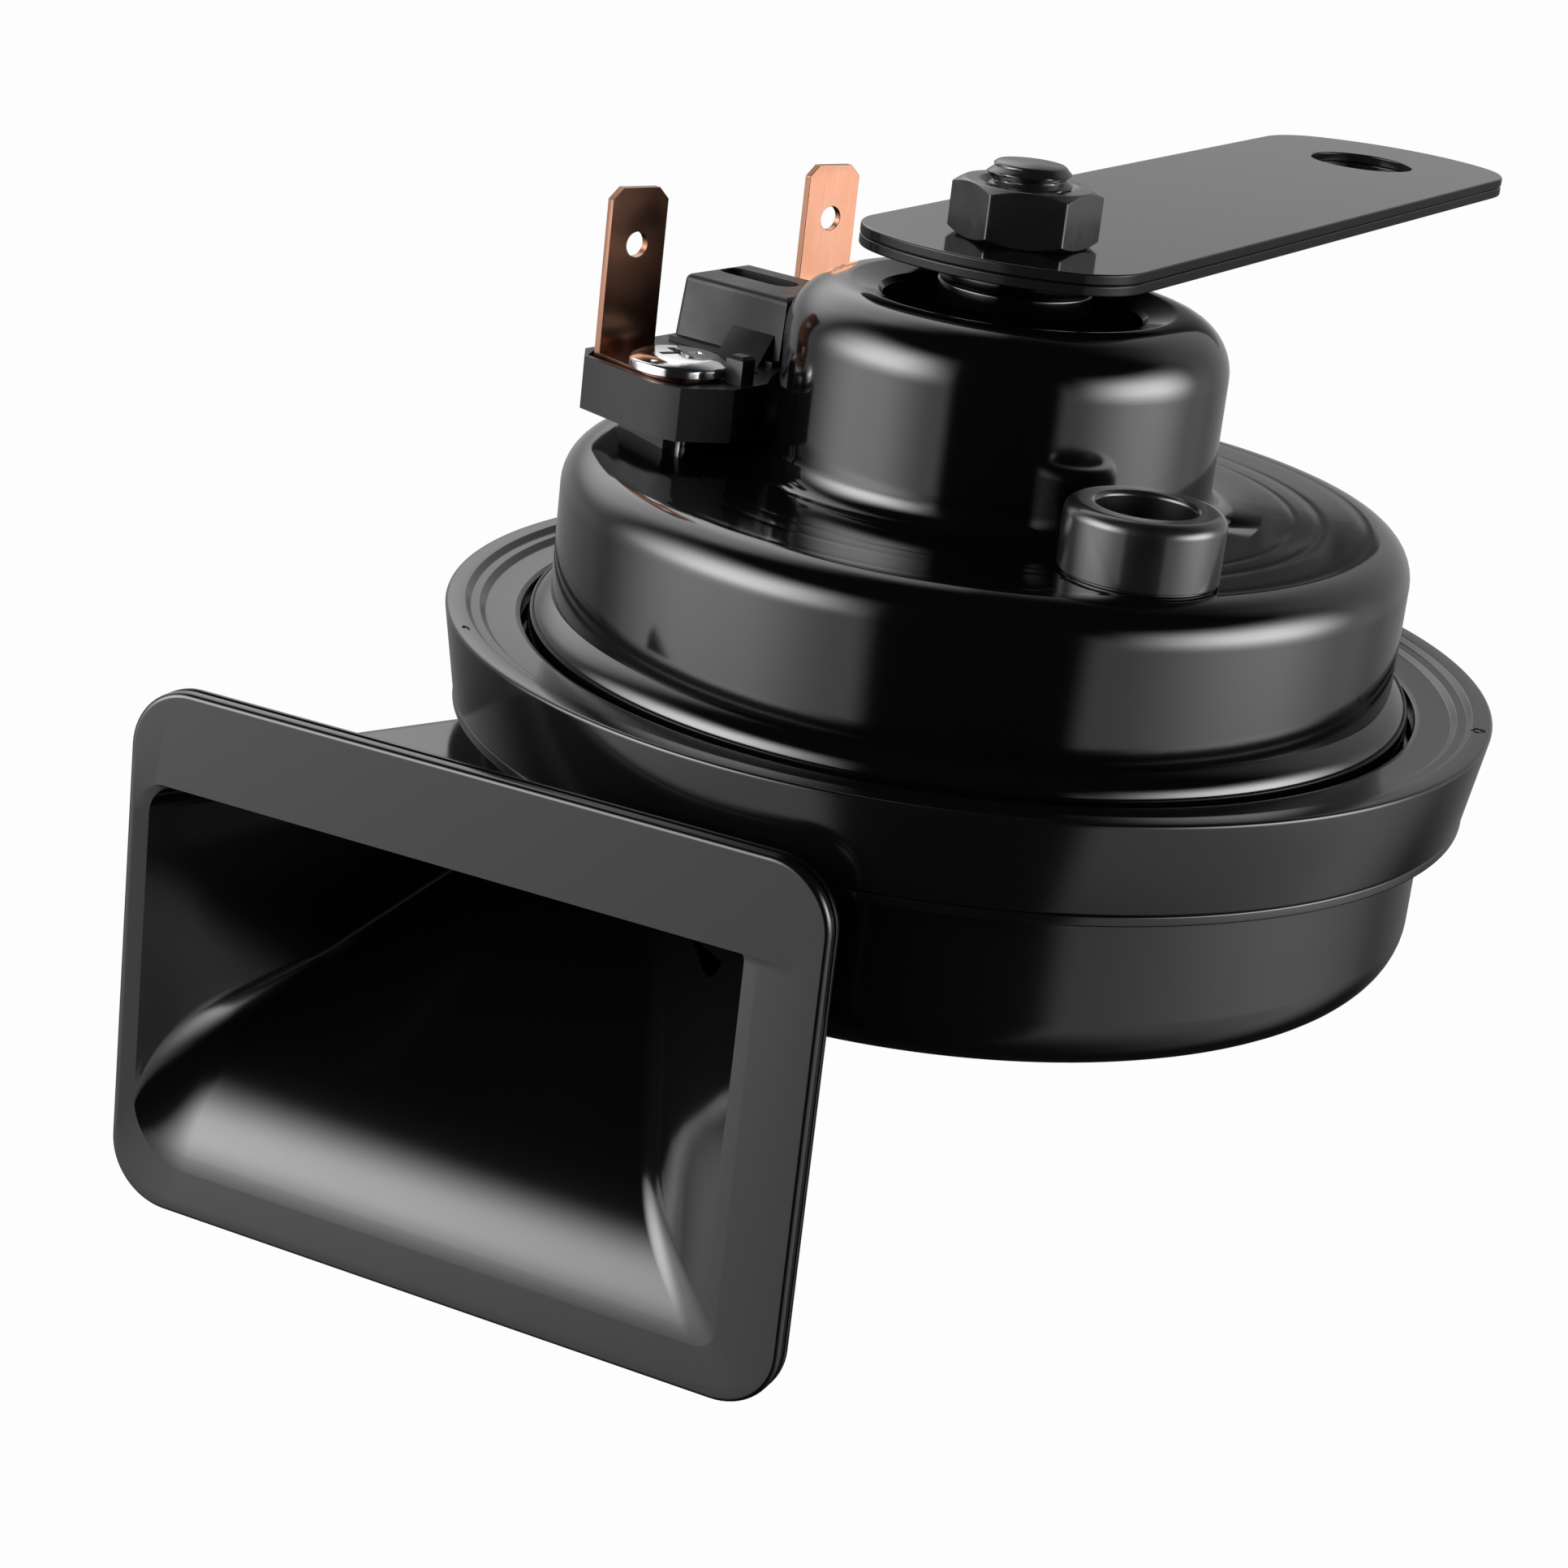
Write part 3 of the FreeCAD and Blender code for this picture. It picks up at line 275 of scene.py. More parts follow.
def relief(tree, position, size, depth, under=None, detail=2.0):
    """A normal with a grain of a size and depth in millimetres, over another normal where given."""
    noise = add(tree, "ShaderNodeTexNoise",
                {"Vector": position, "Scale": 1 / (size * MM), "Detail": detail})
    inputs = {"Height": noise.outputs["Fac"], "Distance": depth * MM, "Strength": 1.0}
    if under is not None:
        inputs["Normal"] = under
    return add(tree, "ShaderNodeBump", inputs).outputs["Normal"]


def levelness(tree, low, high):
    """None where the height of a face's normal is below low, as on a cut edge, and one above high."""
    normal = add(tree, "ShaderNodeNewGeometry", {}).outputs["Normal"]
    height = add(tree, "ShaderNodeSeparateXYZ", {"Vector": normal}).outputs["Z"]
    level = add(tree, "ShaderNodeMath", {0: height}, operation="ABSOLUTE").outputs[0]
    return add(tree, "ShaderNodeMapRange", {
        "Value": level, "From Min": low, "From Max": high, "To Min": 0.0, "To Max": 1.0,
    }).outputs["Result"]


def within(tree, position, centre, radius):
    """One inside a ball about a point of the frame, none outside, with a thin soft skin between."""
    skin = 0.1
    distance = add(tree, "ShaderNodeVectorMath", {0: position, 1: tuple(centre)}, operation="DISTANCE")
    return add(tree, "ShaderNodeMapRange", {
        "Value": distance.outputs["Value"], "From Min": (radius - skin) * MM, "From Max": radius * MM,
        "To Min": 1.0, "To Max": 0.0,
    }).outputs["Result"]


def case_enamel():
    """Stoved black enamel on drawn steel: deep gloss with the soft waviness of a dipped coat.

    The seat under the washers is left without the gloss coat: a matt black disc, painted shade that stands
    in for the shade and dark reflections under the washers and the bracket.
    """
    material, tree, position = start_finish("case_enamel")
    centre = to_frame(np.array([0.0, 0.0, tier_top - seat_sink]))
    # Painted shade: inside this ball the flat seat loses its gloss coat and stays black, as the shade
    # under the washers and the bracket would leave it.
    shade_seat_ball = within(tree, position, centre, seat_radius - 0.1)
    level = levelness(tree, 0.9, 0.97)
    seat = add(tree, "ShaderNodeMath", {0: shade_seat_ball, 1: level}, operation="MULTIPLY").outputs[0]
    coat = add(tree, "ShaderNodeMapRange", {"Value": seat, "To Min": 1.0, "To Max": 0.0})
    wave = relief(tree, position, 9.0, 0.012)
    peel = relief(tree, position, 1.6, 0.0016, wave)
    end_finish(tree, Base_Color=linear("030303"), IOR=1.52, Specular_IOR_Level=0.0, Normal=peel,
               Roughness=patches(tree, position, 14.0, 0.5, 0.65), Coat_Weight=coat.outputs["Result"],
               Coat_Roughness=0.1, Coat_IOR=1.52, Coat_Normal=peel)
    return material


def bracket_enamel():
    """Black enamel on sheared spring steel leaves: glossy faces, the coat thin and greyer on cut edges."""
    material, tree, position = start_finish("bracket_enamel")
    face = levelness(tree, 0.25, 0.85)
    colour = add(tree, "ShaderNodeMix", {"Factor": face, 6: linear("0f0f10"), 7: linear("050505")},
                 data_type="RGBA")
    coat = add(tree, "ShaderNodeMapRange", {"Value": face, "To Min": 0.3, "To Max": 1.0})
    peel = relief(tree, position, 1.3, 0.0018, relief(tree, position, 12.0, 0.01))
    end_finish(tree, Base_Color=colour.outputs[2], IOR=1.52, Specular_IOR_Level=0.0, Normal=peel,
               Roughness=patches(tree, position, 10.0, 0.5, 0.65), Coat_Weight=coat.outputs["Result"],
               Coat_Roughness=0.12, Coat_IOR=1.52, Coat_Normal=peel)
    return material


def trumpet_plastic():
    """Injection moulded black ABS: a soft gloss over the fine grain of an etched mould."""
    material, tree, position = start_finish("trumpet_plastic")
    grain = relief(tree, position, 0.25, 0.0012, relief(tree, position, 18.0, 0.02))
    end_finish(tree, Base_Color=linear("060607"), IOR=1.53, Normal=grain, Specular_IOR_Level=0.42,
               Roughness=patches(tree, position, 22.0, 0.13, 0.17))
    return material


def block_plastic():
    """Glass-filled black PBT: matt and slightly mottled, as fibre lies at the surface.

    The collar round the tuning screw comes from a polished mould: it is glossier and blacker.
    """
    material, tree, position = start_finish("block_plastic")
    low, high = span("adjuster_collar")
    collar_reach = 11.0
    polished = within(tree, position, to_frame((low + high) / 2), collar_reach)
    coat = add(tree, "ShaderNodeMapRange", {"Value": polished, "To Min": 0.0, "To Max": 0.85})
    grain = relief(tree, position, 0.18, 0.001, relief(tree, position, 5.0, 0.006))
    colour = add(tree, "ShaderNodeMix", {"Factor": polished, 6: linear("0b0b0b"), 7: linear("030303")},
                 data_type="RGBA")
    end_finish(tree, Base_Color=colour.outputs[2], IOR=1.55, Specular_IOR_Level=0.2, Normal=grain,
               Roughness=patches(tree, position, 3.0, 0.36, 0.46), Coat_Weight=coat.outputs["Result"],
               Coat_Roughness=0.13, Coat_IOR=1.52)
    return material


def bobbin_plastic():
    """Natural nylon coil former: waxy cream, slightly clouded."""
    material, tree, position = start_finish("bobbin_plastic")
    cloud = patches(tree, position, 6.0, 0.0, 1.0)
    colour = add(tree, "ShaderNodeMix", {"Factor": cloud, 6: linear("cfc7ab"), 7: linear("dcd5bd")},
                 data_type="RGBA")
    end_finish(tree, Base_Color=colour.outputs[2], IOR=1.53, Roughness=0.45,
               Normal=relief(tree, position, 0.3, 0.002))
    return material


def insulating_board():
    """Phenolic board: brown paper laminate with fine fibre streaks."""
    material, tree, position = start_finish("insulating_board")
    drawn = add(tree, "ShaderNodeMapping", {"Vector": position, "Scale": (1.0, 6.0, 6.0)})
    fibre = patches(tree, drawn.outputs[0], 3.0, 0.0, 1.0, 6.0)
    colour = add(tree, "ShaderNodeMix", {"Factor": fibre, 6: linear("5a3418"), 7: linear("7a4a26")},
                 data_type="RGBA")
    end_finish(tree, Base_Color=colour.outputs[2], IOR=1.6, Roughness=0.4,
               Normal=relief(tree, position, 0.4, 0.003))
    return material


def gasket_rubber():
    """Black nitrile rubber: dull, with a faint bloom."""
    material, tree, position = start_finish("gasket_rubber")
    bloom = patches(tree, position, 4.0, 0.0, 1.0)
    colour = add(tree, "ShaderNodeMix", {"Factor": bloom, 6: linear("141414"), 7: linear("1e1e1d")},
                 data_type="RGBA")
    end_finish(tree, Base_Color=colour.outputs[2], IOR=1.52, Roughness=0.7,
               Normal=relief(tree, position, 0.3, 0.004))
    return material


def copper():
    """Stamped copper strip, dulled by handling: faint rolling lines along it, browner in patches."""
    material, tree, position = start_finish("copper")
    drawn = add(tree, "ShaderNodeMapping", {"Vector": position, "Scale": (14.0, 14.0, 0.6)})
    line = patches(tree, drawn.outputs[0], 2.0, 0.0, 1.0, 4.0)
    tarnish = patches(tree, position, 5.0, 0.0, 0.4, 5.0)
    strip = add(tree, "ShaderNodeMix", {"Factor": line, 6: linear("9b7360"), 7: linear("936b58")},
                data_type="RGBA")
    colour = add(tree, "ShaderNodeMix", {"Factor": tarnish, 6: strip.outputs[2], 7: linear("85583f")},
                 data_type="RGBA")
    end_finish(tree, Base_Color=colour.outputs[2], Metallic=1.0,
               Roughness=patches(tree, position, 4.0, 0.18, 0.24),
               Normal=relief(tree, drawn.outputs[0], 1.0, 0.0008))
    return material


def contact_metal():
    """Tungsten contact buttons: grey, ground, a little pitted."""
    material, tree, position = start_finish("contact_metal")
    end_finish(tree, Base_Color=linear("b4b4b2"), Metallic=1.0,
               Roughness=patches(tree, position, 0.6, 0.25, 0.45),
               Normal=relief(tree, position, 0.3, 0.004))
    return material


def screw_chrome():
    """Bright plated screw: mirror-like, with faint forming marks."""
    material, tree, position = start_finish("screw_chrome")
    end_finish(tree, Base_Color=linear("e2e2e4"), Metallic=1.0,
               Roughness=patches(tree, position, 1.5, 0.06, 0.16),
               Normal=relief(tree, position, 0.8, 0.012))
    return material


def black_steel():
    """Chemically blacked steel: dark satin with faint machining marks."""
    material, tree, position = start_finish("black_steel")
    end_finish(tree, Base_Color=linear("0b0b0c"), IOR=1.55, Specular_IOR_Level=0.6,
               Roughness=patches(tree, position, 2.5, 0.18, 0.3),
               Normal=relief(tree, position, 0.7, 0.004))
    return material


def plain_steel():
    """Zinc plated steel: pale grey with a soft spangle."""
    material, tree, position = start_finish("plain_steel")
    end_finish(tree, Base_Color=linear("b8bab8"), Metallic=1.0,
               Roughness=patches(tree, position, 2.0, 0.28, 0.42),
               Normal=relief(tree, position, 0.5, 0.003))
    return material


def spring_steel():
    """Tempered strip: blue-grey, drawn fine lines."""
    material, tree, position = start_finish("spring_steel")
    drawn = add(tree, "ShaderNodeMapping", {"Vector": position, "Scale": (1.0, 12.0, 12.0)})
    end_finish(tree, Base_Color=linear("8c9098"), Metallic=1.0,
               Roughness=patches(tree, drawn.outputs[0], 3.0, 0.22, 0.34),
               Normal=relief(tree, drawn.outputs[0], 2.0, 0.003))
    return material


finishes = {make.__name__: make() for make in (
    case_enamel, bracket_enamel, trumpet_plastic, block_plastic, bobbin_plastic, insulating_board,
    gasket_rubber, copper, contact_metal, screw_chrome, black_steel, plain_steel, spring_steel,
)}
# The solids that stay as they are, most of them inside the case, wear the same finishes.
for part in frame["record"]["subparts"]:
    node_mesh = frame["nodes"][part["node"]].data
    node_mesh.materials.clear()
    node_mesh.materials.append(finishes[part["material_slot"]])


# Drawn case

# Radius, half width and depth of each faint ring in the lower tier's top, and the start, end and
# spacing of the fine points there
DRAWING_RINGS = ((28.4, 0.35, 0.018), (30.8, 0.5, 0.026), (35.1, 0.55, 0.026))
ring_zone = (25.2, 35.6, 0.16)
dent_place = (22.6, 4.2)
dent_reach = (0.9, 2.2)
dent_depth = 0.35


def make_case():
    """Two drawn tiers, a sunk seat under the washers, a rounded foot and the clamped flange.

    The lower tier's top has the faint rings that drawing leaves, each a Gaussian dip across the
    radius, and at the upper tier's foot a small dent, a Gaussian in plan. The rounded foot is two
    arcs that share a tangent: a small one from the steep edge up, a wide one from there to the wall.
    """
    foot = case_flange_radius - case_flange_step
    small, wide, meeting, steepest = 2.2, 5.2, math.radians(45), math.radians(5)
    small_axis = np.array([foot, lip_level]) - small * np.array([math.cos(steepest), math.sin(steepest)])
    wide_axis = small_axis - (wide - small) * np.array([math.cos(meeting), math.sin(meeting)])
    wall_bend = math.acos((case_radius - wide_axis[0]) / wide)
    arcs = ((wide_axis, wide, np.linspace(wall_bend, meeting, 7)[:-1]),
            (small_axis, small, np.linspace(meeting, steepest, 9)))
    rounded_foot = [(*(axis + radius * np.array([math.cos(bend), math.sin(bend)])), 0)
                    for axis, radius, bends in arcs for bend in bends]

    tier_face = case_top + enamel_build
    radii = np.arange(*ring_zone)
    heights = tier_face - sum(
        depth * np.exp(-((radii - radius) / width) ** 2) for radius, width, depth in DRAWING_RINGS)
    seat_level = tier_top - seat_sink
    flange_top = case_low[2] + case_sheet
    inner_foot, inner_case, inner_tier = (
        radius - case_sheet for radius in (foot, case_radius, tier_radius))
    under_top, under_tier = tier_top - case_sheet, case_top - case_sheet
    outline = profile([
        (stud_hole_radius, seat_level), (7.6, seat_level, 0), (seat_radius - 0.4, seat_level - 0.25, 0.1),
        (seat_radius, seat_level + 0.25, 0.15), (14.9, tier_top, 0.9), (tier_radius, tier_top, 5.4),
        (tier_radius, tier_face, 2.4), *((r, z, 0) for r, z in zip(radii, heights)),
        (case_radius, tier_face, 4.2), *rounded_foot, (foot, flange_top),
        (case_flange_radius, flange_top), (case_flange_radius, case_low[2]), (inner_foot, case_low[2]),
        (inner_foot, lip_level - case_sheet), (inner_case, lip_level), (inner_case, under_tier, 2.8),
        (inner_tier, under_tier, 3.4), (inner_tier, under_top, 4.2), (14.4, under_top, 0.9),
        (10.8, under_top - 1.3, 5.0), (stud_hole_radius, under_top - seat_sink),
    ], step=8.0)
    grid = lathe(outline, 320)
    x, y, z = grid[..., 0], grid[..., 1], grid[..., 2]
    outside = (np.abs(z - case_top) < 0.2) & (np.hypot(x, y) > tier_radius)
    spread = ((x - dent_place[0]) / dent_reach[0]) ** 2 + ((y - dent_place[1]) / dent_reach[1]) ** 2
    z -= outside * dent_depth * np.exp(-spread)
    place("case_shell", grid_mesh("case_shell", grid), "case_enamel", "case")


# Moulded cover ring

def make_cover():
    """Cover ring: flat rim, two small steps, a dished ledge and a tapered skirt.

    Two marks of the mould are sunk in the rim: a slot-like gate mark and an ejector pin's ring.
    """
    low, high = span("trumpet_cover")
    outer, bore, skirt_bore, skirt_root = high[0], 42.1, 46.4, 46.2
    ledge, middle, underside = -1.0, -0.5, -2.8
    outline = profile([
        (bore, ledge - 0.12), (bore + 0.5, ledge), (outer - 3.8, ledge, 0.2), (outer - 3.3, middle, 0.2),
        (outer - 2.4, middle, 0.15), (outer - 1.95, 0.0, 0.2), (outer, 0.0, 0.35),
        (outer - 1.4, low[2], 0.3), (skirt_bore, low[2]), (skirt_bore, -3.0),
        (skirt_root, underside), (bore, underside),
    ], step=15.0)
    mesh = grid_mesh("cover_ring", lathe(outline, 384))

    depth, clear = 0.12, 0.5
    gate_place, gate_stretch, turn = (-35.6, -32.4), np.array([1.3, 0.5]), math.radians(42.3)
    pit = profile([(0.0, -depth), (0.6, -depth, 0.06), (0.7, clear), (0.0, clear)], closed=False)
    slot = lathe(pit, 32)
    along, across = np.moveaxis(slot[..., :2] * gate_stretch, 2, 0)
    slot[..., 0] = gate_place[0] + along * math.cos(turn) + across * math.sin(turn)
    slot[..., 1] = gate_place[1] - along * math.sin(turn) + across * math.cos(turn)
    mesh = carve(mesh, grid_mesh("gate_mark", slot, closed=False))
    inside, outside, ejector_place = 0.3, 0.75, (46.9, 9.4)
    ring = profile([(inside, -depth), (outside, -depth), (outside, clear), (inside, clear)])
    mesh = carve(mesh, grid_mesh("ejector_mark", lathe(ring, 40, ejector_place)))
    place("cover_ring", mesh, "trumpet_plastic", "trumpet_cover")


# Trumpet: basin, bell and mouth flange

mouth_left, mouth_plane, mouth_bottom = span("trumpet_shell")[0]
mouth_right = mouth_left + 69.05
mouth_top = mouth_bottom + 50.2
mouth_thickness = 2.3
mouth_corner = 6.0
# Width of the flat flange from each of its edges to the bell's opening
left_margin = 0.75
right_margin = 3.2
floor_margin = 1.4
roof_margin = 9.05
# The left side comes in by its run over the bell's length, to an inner end of the width below
wall = 2.2
bell_length = 42.0
bell_end = bell_length + 3.0
bell_left_run = 21.1
bell_inner_width = 11.4
# How far in each side's crease lies, and how deep behind the mouth
left_slope = 1.4
left_crease = 0.28
right_slope = 4.4
right_crease = 0.617
side_flare = 16.0
basin_floor = -23.1
basin_bottom = -25.3
basin_bore = 42.3
basin_radius = 44.5
basin_collar = 47.8
floor_bend = 3.3
CORNER_STEPS = 17
SIDE_STEPS = 9


def flare(depth, radius, run, offset):
    """How far a bell wall lies in from its edge: an arc of the radius R, then its tangent line.

    The line's angle a brings the wall in by run = R/cos(a) + (L - R)*tan(a) at the bell's length L.
    """
    line = bell_length - radius
    angle = math.acos(radius / math.hypot(run, line)) - math.atan2(line, run)
    curve = radius - offset
    tangent_depth = radius - curve * math.sin(angle)
    arc = np.sqrt(np.maximum(curve ** 2 - (radius - depth) ** 2, 0))
    straight = curve * math.cos(angle) + math.tan(angle) * (depth - tangent_depth)
    return np.where(depth < tangent_depth, arc, straight)


def rounded_loops(left, right, floor, roof, radii, y):
    """Rounded rectangles seen from the front, one row for each entry of the arrays.

    A row runs round from the right, through the roof's right and left corners and the floor's left
    and right ones, whose radii come in that order, with even steps along each arc and each side.
    """
    quarter = np.radians(np.linspace(0, 90, CORNER_STEPS))
    ways = ((right, -1, roof, -1), (left, 1, roof, -1), (left, 1, floor, 1), (right, -1, floor, 1))
    centres = [(x + along * radius, z + up * radius) for (x, along, z, up), radius in zip(ways, radii)]
    rows = []
    for index, (x, z) in enumerate(centres):
        angle = quarter + index * np.pi / 2
        arc = np.stack([x[:, None] + radii[index][:, None] * np.cos(angle),
                        z[:, None] + radii[index][:, None] * np.sin(angle)], 2)
        following = (index + 1) % 4
        turn = following * np.pi / 2
        goal = np.stack([centres[following][0] + radii[following] * math.cos(turn),
                         centres[following][1] + radii[following] * math.sin(turn)], 1)
        share = np.linspace(0, 1, SIDE_STEPS + 1)[1:-1, None]
        rows += [arc, arc[:, -1:, :] * (1 - share) + goal[:, None, :] * share]
    flat = np.concatenate(rows, axis=1)
    return np.stack([flat[..., 0], np.broadcast_to(y[:, None], flat.shape[:2]), flat[..., 1]], 2)


def bell_rows(depth, offset):
    """Sections of the bell at depths behind the mouth: offset 0 is its inside, wall its outside.

    The floor flares. Each side turns off the face over a slope, narrow and flat on the left, wide
    and curved to the same radius as the floor on the right, and from a crease it runs straight. On
    the right that crease fades downwards: where the wall is low it flares as the floor does.
    """
    left_edge, right_edge = mouth_left + left_margin, mouth_right - right_margin
    floor_edge = mouth_bottom + floor_margin
    right_run = right_edge - left_edge - bell_left_run - bell_inner_width
    left_fall = (bell_left_run - left_slope) / (bell_length - left_crease)
    right_fall = (right_run - right_slope) / (bell_length - right_crease)
    left_in = np.where(depth < left_crease, depth * left_slope / left_crease,
                       left_slope + left_fall * (depth - left_crease))
    curved = np.sqrt(np.maximum(side_flare ** 2 - (side_flare - depth) ** 2, 0))
    right_in = np.where(depth < right_crease, curved, right_slope + right_fall * (depth - right_crease))
    left = left_edge + left_in - offset * math.hypot(1, left_fall)
    right = right_edge - right_in + offset * math.hypot(1, right_fall)
    floor = floor_edge + flare(depth, side_flare, basin_floor - floor_edge, offset)
    roof = np.full_like(depth, mouth_top - roof_margin + offset)
    roof_right, roof_left, floor_right = 0.9, 3.0, 2.0
    floor_left = 6.0 - 4.6 * np.minimum(depth / 18.0, 1.0)
    widest = 0.45 * np.minimum(roof - floor, right - left)
    corners = [np.minimum(radius, widest) + 0.5 * offset
               for radius in (roof_right, roof_left, floor_left, floor_right)]
    rows = rounded_loops(left, right, floor, roof, corners, mouth_plane + depth)
    bulge = np.maximum(flare(depth, side_flare, right_run, 0.0) - right_in, 0)[:, None]
    across = (rows[..., 0] - left[:, None]) / (right - left)[:, None]
    up = (rows[..., 2] - floor[:, None]) / (roof - floor)[:, None]
    plain_above, fade = 0.8, 0.6
    share = np.clip((plain_above - up) / fade, 0, 1)
    rows[..., 0] -= bulge * share ** 2 * (3 - 2 * share) * across
    return rows


def flange_rows(steps):
    """Flange outlines at (setback from the mouth's face, inset from its edge) steps."""
    setback, inset = np.array(steps).T
    corner = np.maximum(mouth_corner - inset, 0.5)
    return rounded_loops(mouth_left + inset, mouth_right - inset, mouth_bottom + inset, mouth_top - inset,
                         (corner,) * 4, mouth_plane + setback)


def basin_hollow():
    """The closed space inside the basin, as a tool that trims what reaches into it."""
    above = -8.0
    outline = profile([
        (0.0, above), (basin_bore, above, 0), (basin_bore, basin_floor, floor_bend), (0.0, basin_floor),
    ], closed=False, step=6.0)
    return grid_mesh("hollow", lathe(outline, 256), closed=False)


def make_bell():
    """Flared bell and its flange: inner skin, flat face, edge with a groove, back and outer skin.

    The sections crowd towards the mouth, and one lies on each side's crease.
    """
    depths = left_crease + (bell_end - left_crease) * np.linspace(1, 0, 84) ** 1.8
    depths = np.sort(np.append(depths, (right_crease, 0.0)))[::-1]
    inner = bell_rows(depths, 0.0)
    edge = 0.5
    bends = np.radians(np.linspace(0, 90, 7))
    front = [(edge * (1 - math.cos(bend)), edge * (1 - math.sin(bend))) for bend in bends]
    back = [(mouth_thickness - setback, inset) for setback, inset in front[::-1]]
    groove = [(1.02, 0.0), (1.1, 0.08), (1.14, 0.45), (1.46, 0.45), (1.5, 0.08), (1.58, 0.0)]
    flange = flange_rows(front + groove + back)
    outer = bell_rows(mouth_thickness + (bell_end - mouth_thickness) * np.linspace(0, 1, 40) ** 1.6, wall)
    mesh = grid_mesh("trumpet_bell", np.concatenate([inner, flange, outer]))
    mesh = carve(mesh, basin_hollow())
    bell = place("trumpet_bell", mesh, "trumpet_plastic", "trumpet_shell", sharp=30.0)
    flat_faces = bell.modifiers.new("flat_faces", "WEIGHTED_NORMAL")
    flat_faces.keep_sharp = True


def make_basin():
    """Basin under the ring, opened where the bell leaves it."""
    rim, step_level = -8.6, -9.6
    outline = profile([
        (basin_bore, rim, 0.15), (basin_collar, rim, 0.2), (basin_collar, step_level, 0.25),
        (basin_radius, step_level, 0.3), (basin_radius, basin_bottom, 5.5), (0.0, basin_bottom),
        (0.0, basin_floor), (basin_bore, basin_floor, floor_bend),
    ], step=6.0)
    # The two corners on the axis are rounded like the others, so their points go back to it.
    outline[np.isclose(outline[:, 0], 0, atol=0.2), 0] = 0.0
    mesh = grid_mesh("trumpet_basin", lathe(outline, 384))
    passage_start = 5.0
    passage = bell_rows(np.linspace(passage_start, bell_end, 30), 0.0)
    mesh = carve(mesh, grid_mesh("passage", passage, closed=False, capped=True))
    place("trumpet_basin", mesh, "trumpet_plastic", "trumpet_shell", sharp=30.0)


# Collar, washers, stud and nut

def make_collar():
    """Collar round the tuning screw: a rolled top edge and a shadow groove at its foot."""
    low, high = span("adjuster_collar")
    centre = (low + high)[:2] / 2
    outer, bore, groove = (high[0] - low[0]) / 2, 4.35, 0.3
    outline = profile([
        (bore, low[2]), (outer - groove, low[2]), (outer - groove, low[2] + groove, 0.05),
        (outer, low[2] + groove, 0.1), (outer, high[2], 1.2), (bore, high[2], 0.5),
    ], step=5.0)
    place("tuning_collar", grid_mesh("tuning_collar", lathe(outline, 160, centre)), "block_plastic",
          "adjuster_collar", sharp=50.0)


def make_washers():
    """Two thick washers with rounded edges."""
    for node in ("stud_washer_lower", "stud_washer_upper"):
        low, high = span(node)
        outline = profile([(stud_hole_radius, low[2]), (high[0], low[2], 0.2), (high[0], high[2], 0.3),
                           (stud_hole_radius, high[2], 0.2)], step=12.0)
        name = node.replace("stud_", "")
        place(name, grid_mesh(name, lathe(outline, 160)), "case_enamel", node, sharp=50.0)


def make_stud():
    """Core with its M8 stud.

    The stud's radius is the lesser of a helical ridge, a triangle wave of height less a pitch per
    turn, and of the cone that chamfers its end.
    """
    low, high = span("fixed_core")
    pitch, depth, steps, end_radius = 1.25, 0.62, 96, 3.1
    core_radius, shoulder_radius, shoulder, seat = 7.0, 9.0, 28.8, 30.8
    rows = np.arange(seat, high[2] - 0.03, pitch / 14)[:, None]
    angles = np.linspace(0, 2 * np.pi, steps, endpoint=False)
    wave = np.abs(((rows / pitch - angles / (2 * np.pi)) % 1) - 0.5) * 2
    ridge = stud_radius - depth * np.clip(wave * 1.25 - 0.12, 0, 1)
    cone = end_radius + 0.05 + (high[2] - rows)
    start = np.clip((rows - seat) / pitch, 0, 1)
    radius = np.minimum(stud_radius * (1 - start) + ridge * start, cone)
    thread = np.stack([radius * np.cos(angles), radius * np.sin(angles), rows + 0 * angles], 2)
    foot = profile([
        (0.0, low[2]), (core_radius, low[2], 0.3), (core_radius, shoulder), (shoulder_radius, shoulder),
        (shoulder_radius, seat), (stud_radius, seat),
    ], closed=False)
    end = np.array([[end_radius, high[2]], [0.0, high[2]]])
    grid = np.concatenate([lathe(foot, steps), thread, lathe(end, steps)])
    place("core_and_stud", grid_mesh("core_and_stud", grid, closed=False), "black_steel", "fixed_core")


def make_nut():
    """Hexagon nut: flat sides, cone chamfers that cut them in arcs, and a countersunk bore.

    At an angle from the nearest flat's middle, a flat lies at half the width over its cosine. A
    chamfer meets it where the cone from the face's circle reaches that radius.
    """
    low, high = span("hex_nut")
    flats, turn, slope, steps, bore, sink = 12.0, math.radians(23.0), 0.55, 288, 4.0, 0.5
    angles = np.linspace(0, 2 * np.pi, steps, endpoint=False)
    from_corner = (angles - turn) % (np.pi / 3) - np.pi / 6
    side = flats / 2 / np.cos(from_corner)
    face = flats / 2 - 0.15
    drop = slope * (side - face)
    ways = [
        (bore, low[2]), (face, low[2]), (side, low[2] + drop), (side, high[2] - drop), (face, high[2]),
        (bore + sink, high[2]), (bore, high[2] - sink),
    ]
    rows = [np.stack([r * np.cos(angles), r * np.sin(angles), z + 0 * angles], 1) for r, z in ways]
    place("stud_nut", grid_mesh("stud_nut", np.array(rows)), "black_steel", "hex_nut",
          bevel=0.16, sharp=25.0)


# Terminal block, blades and screws

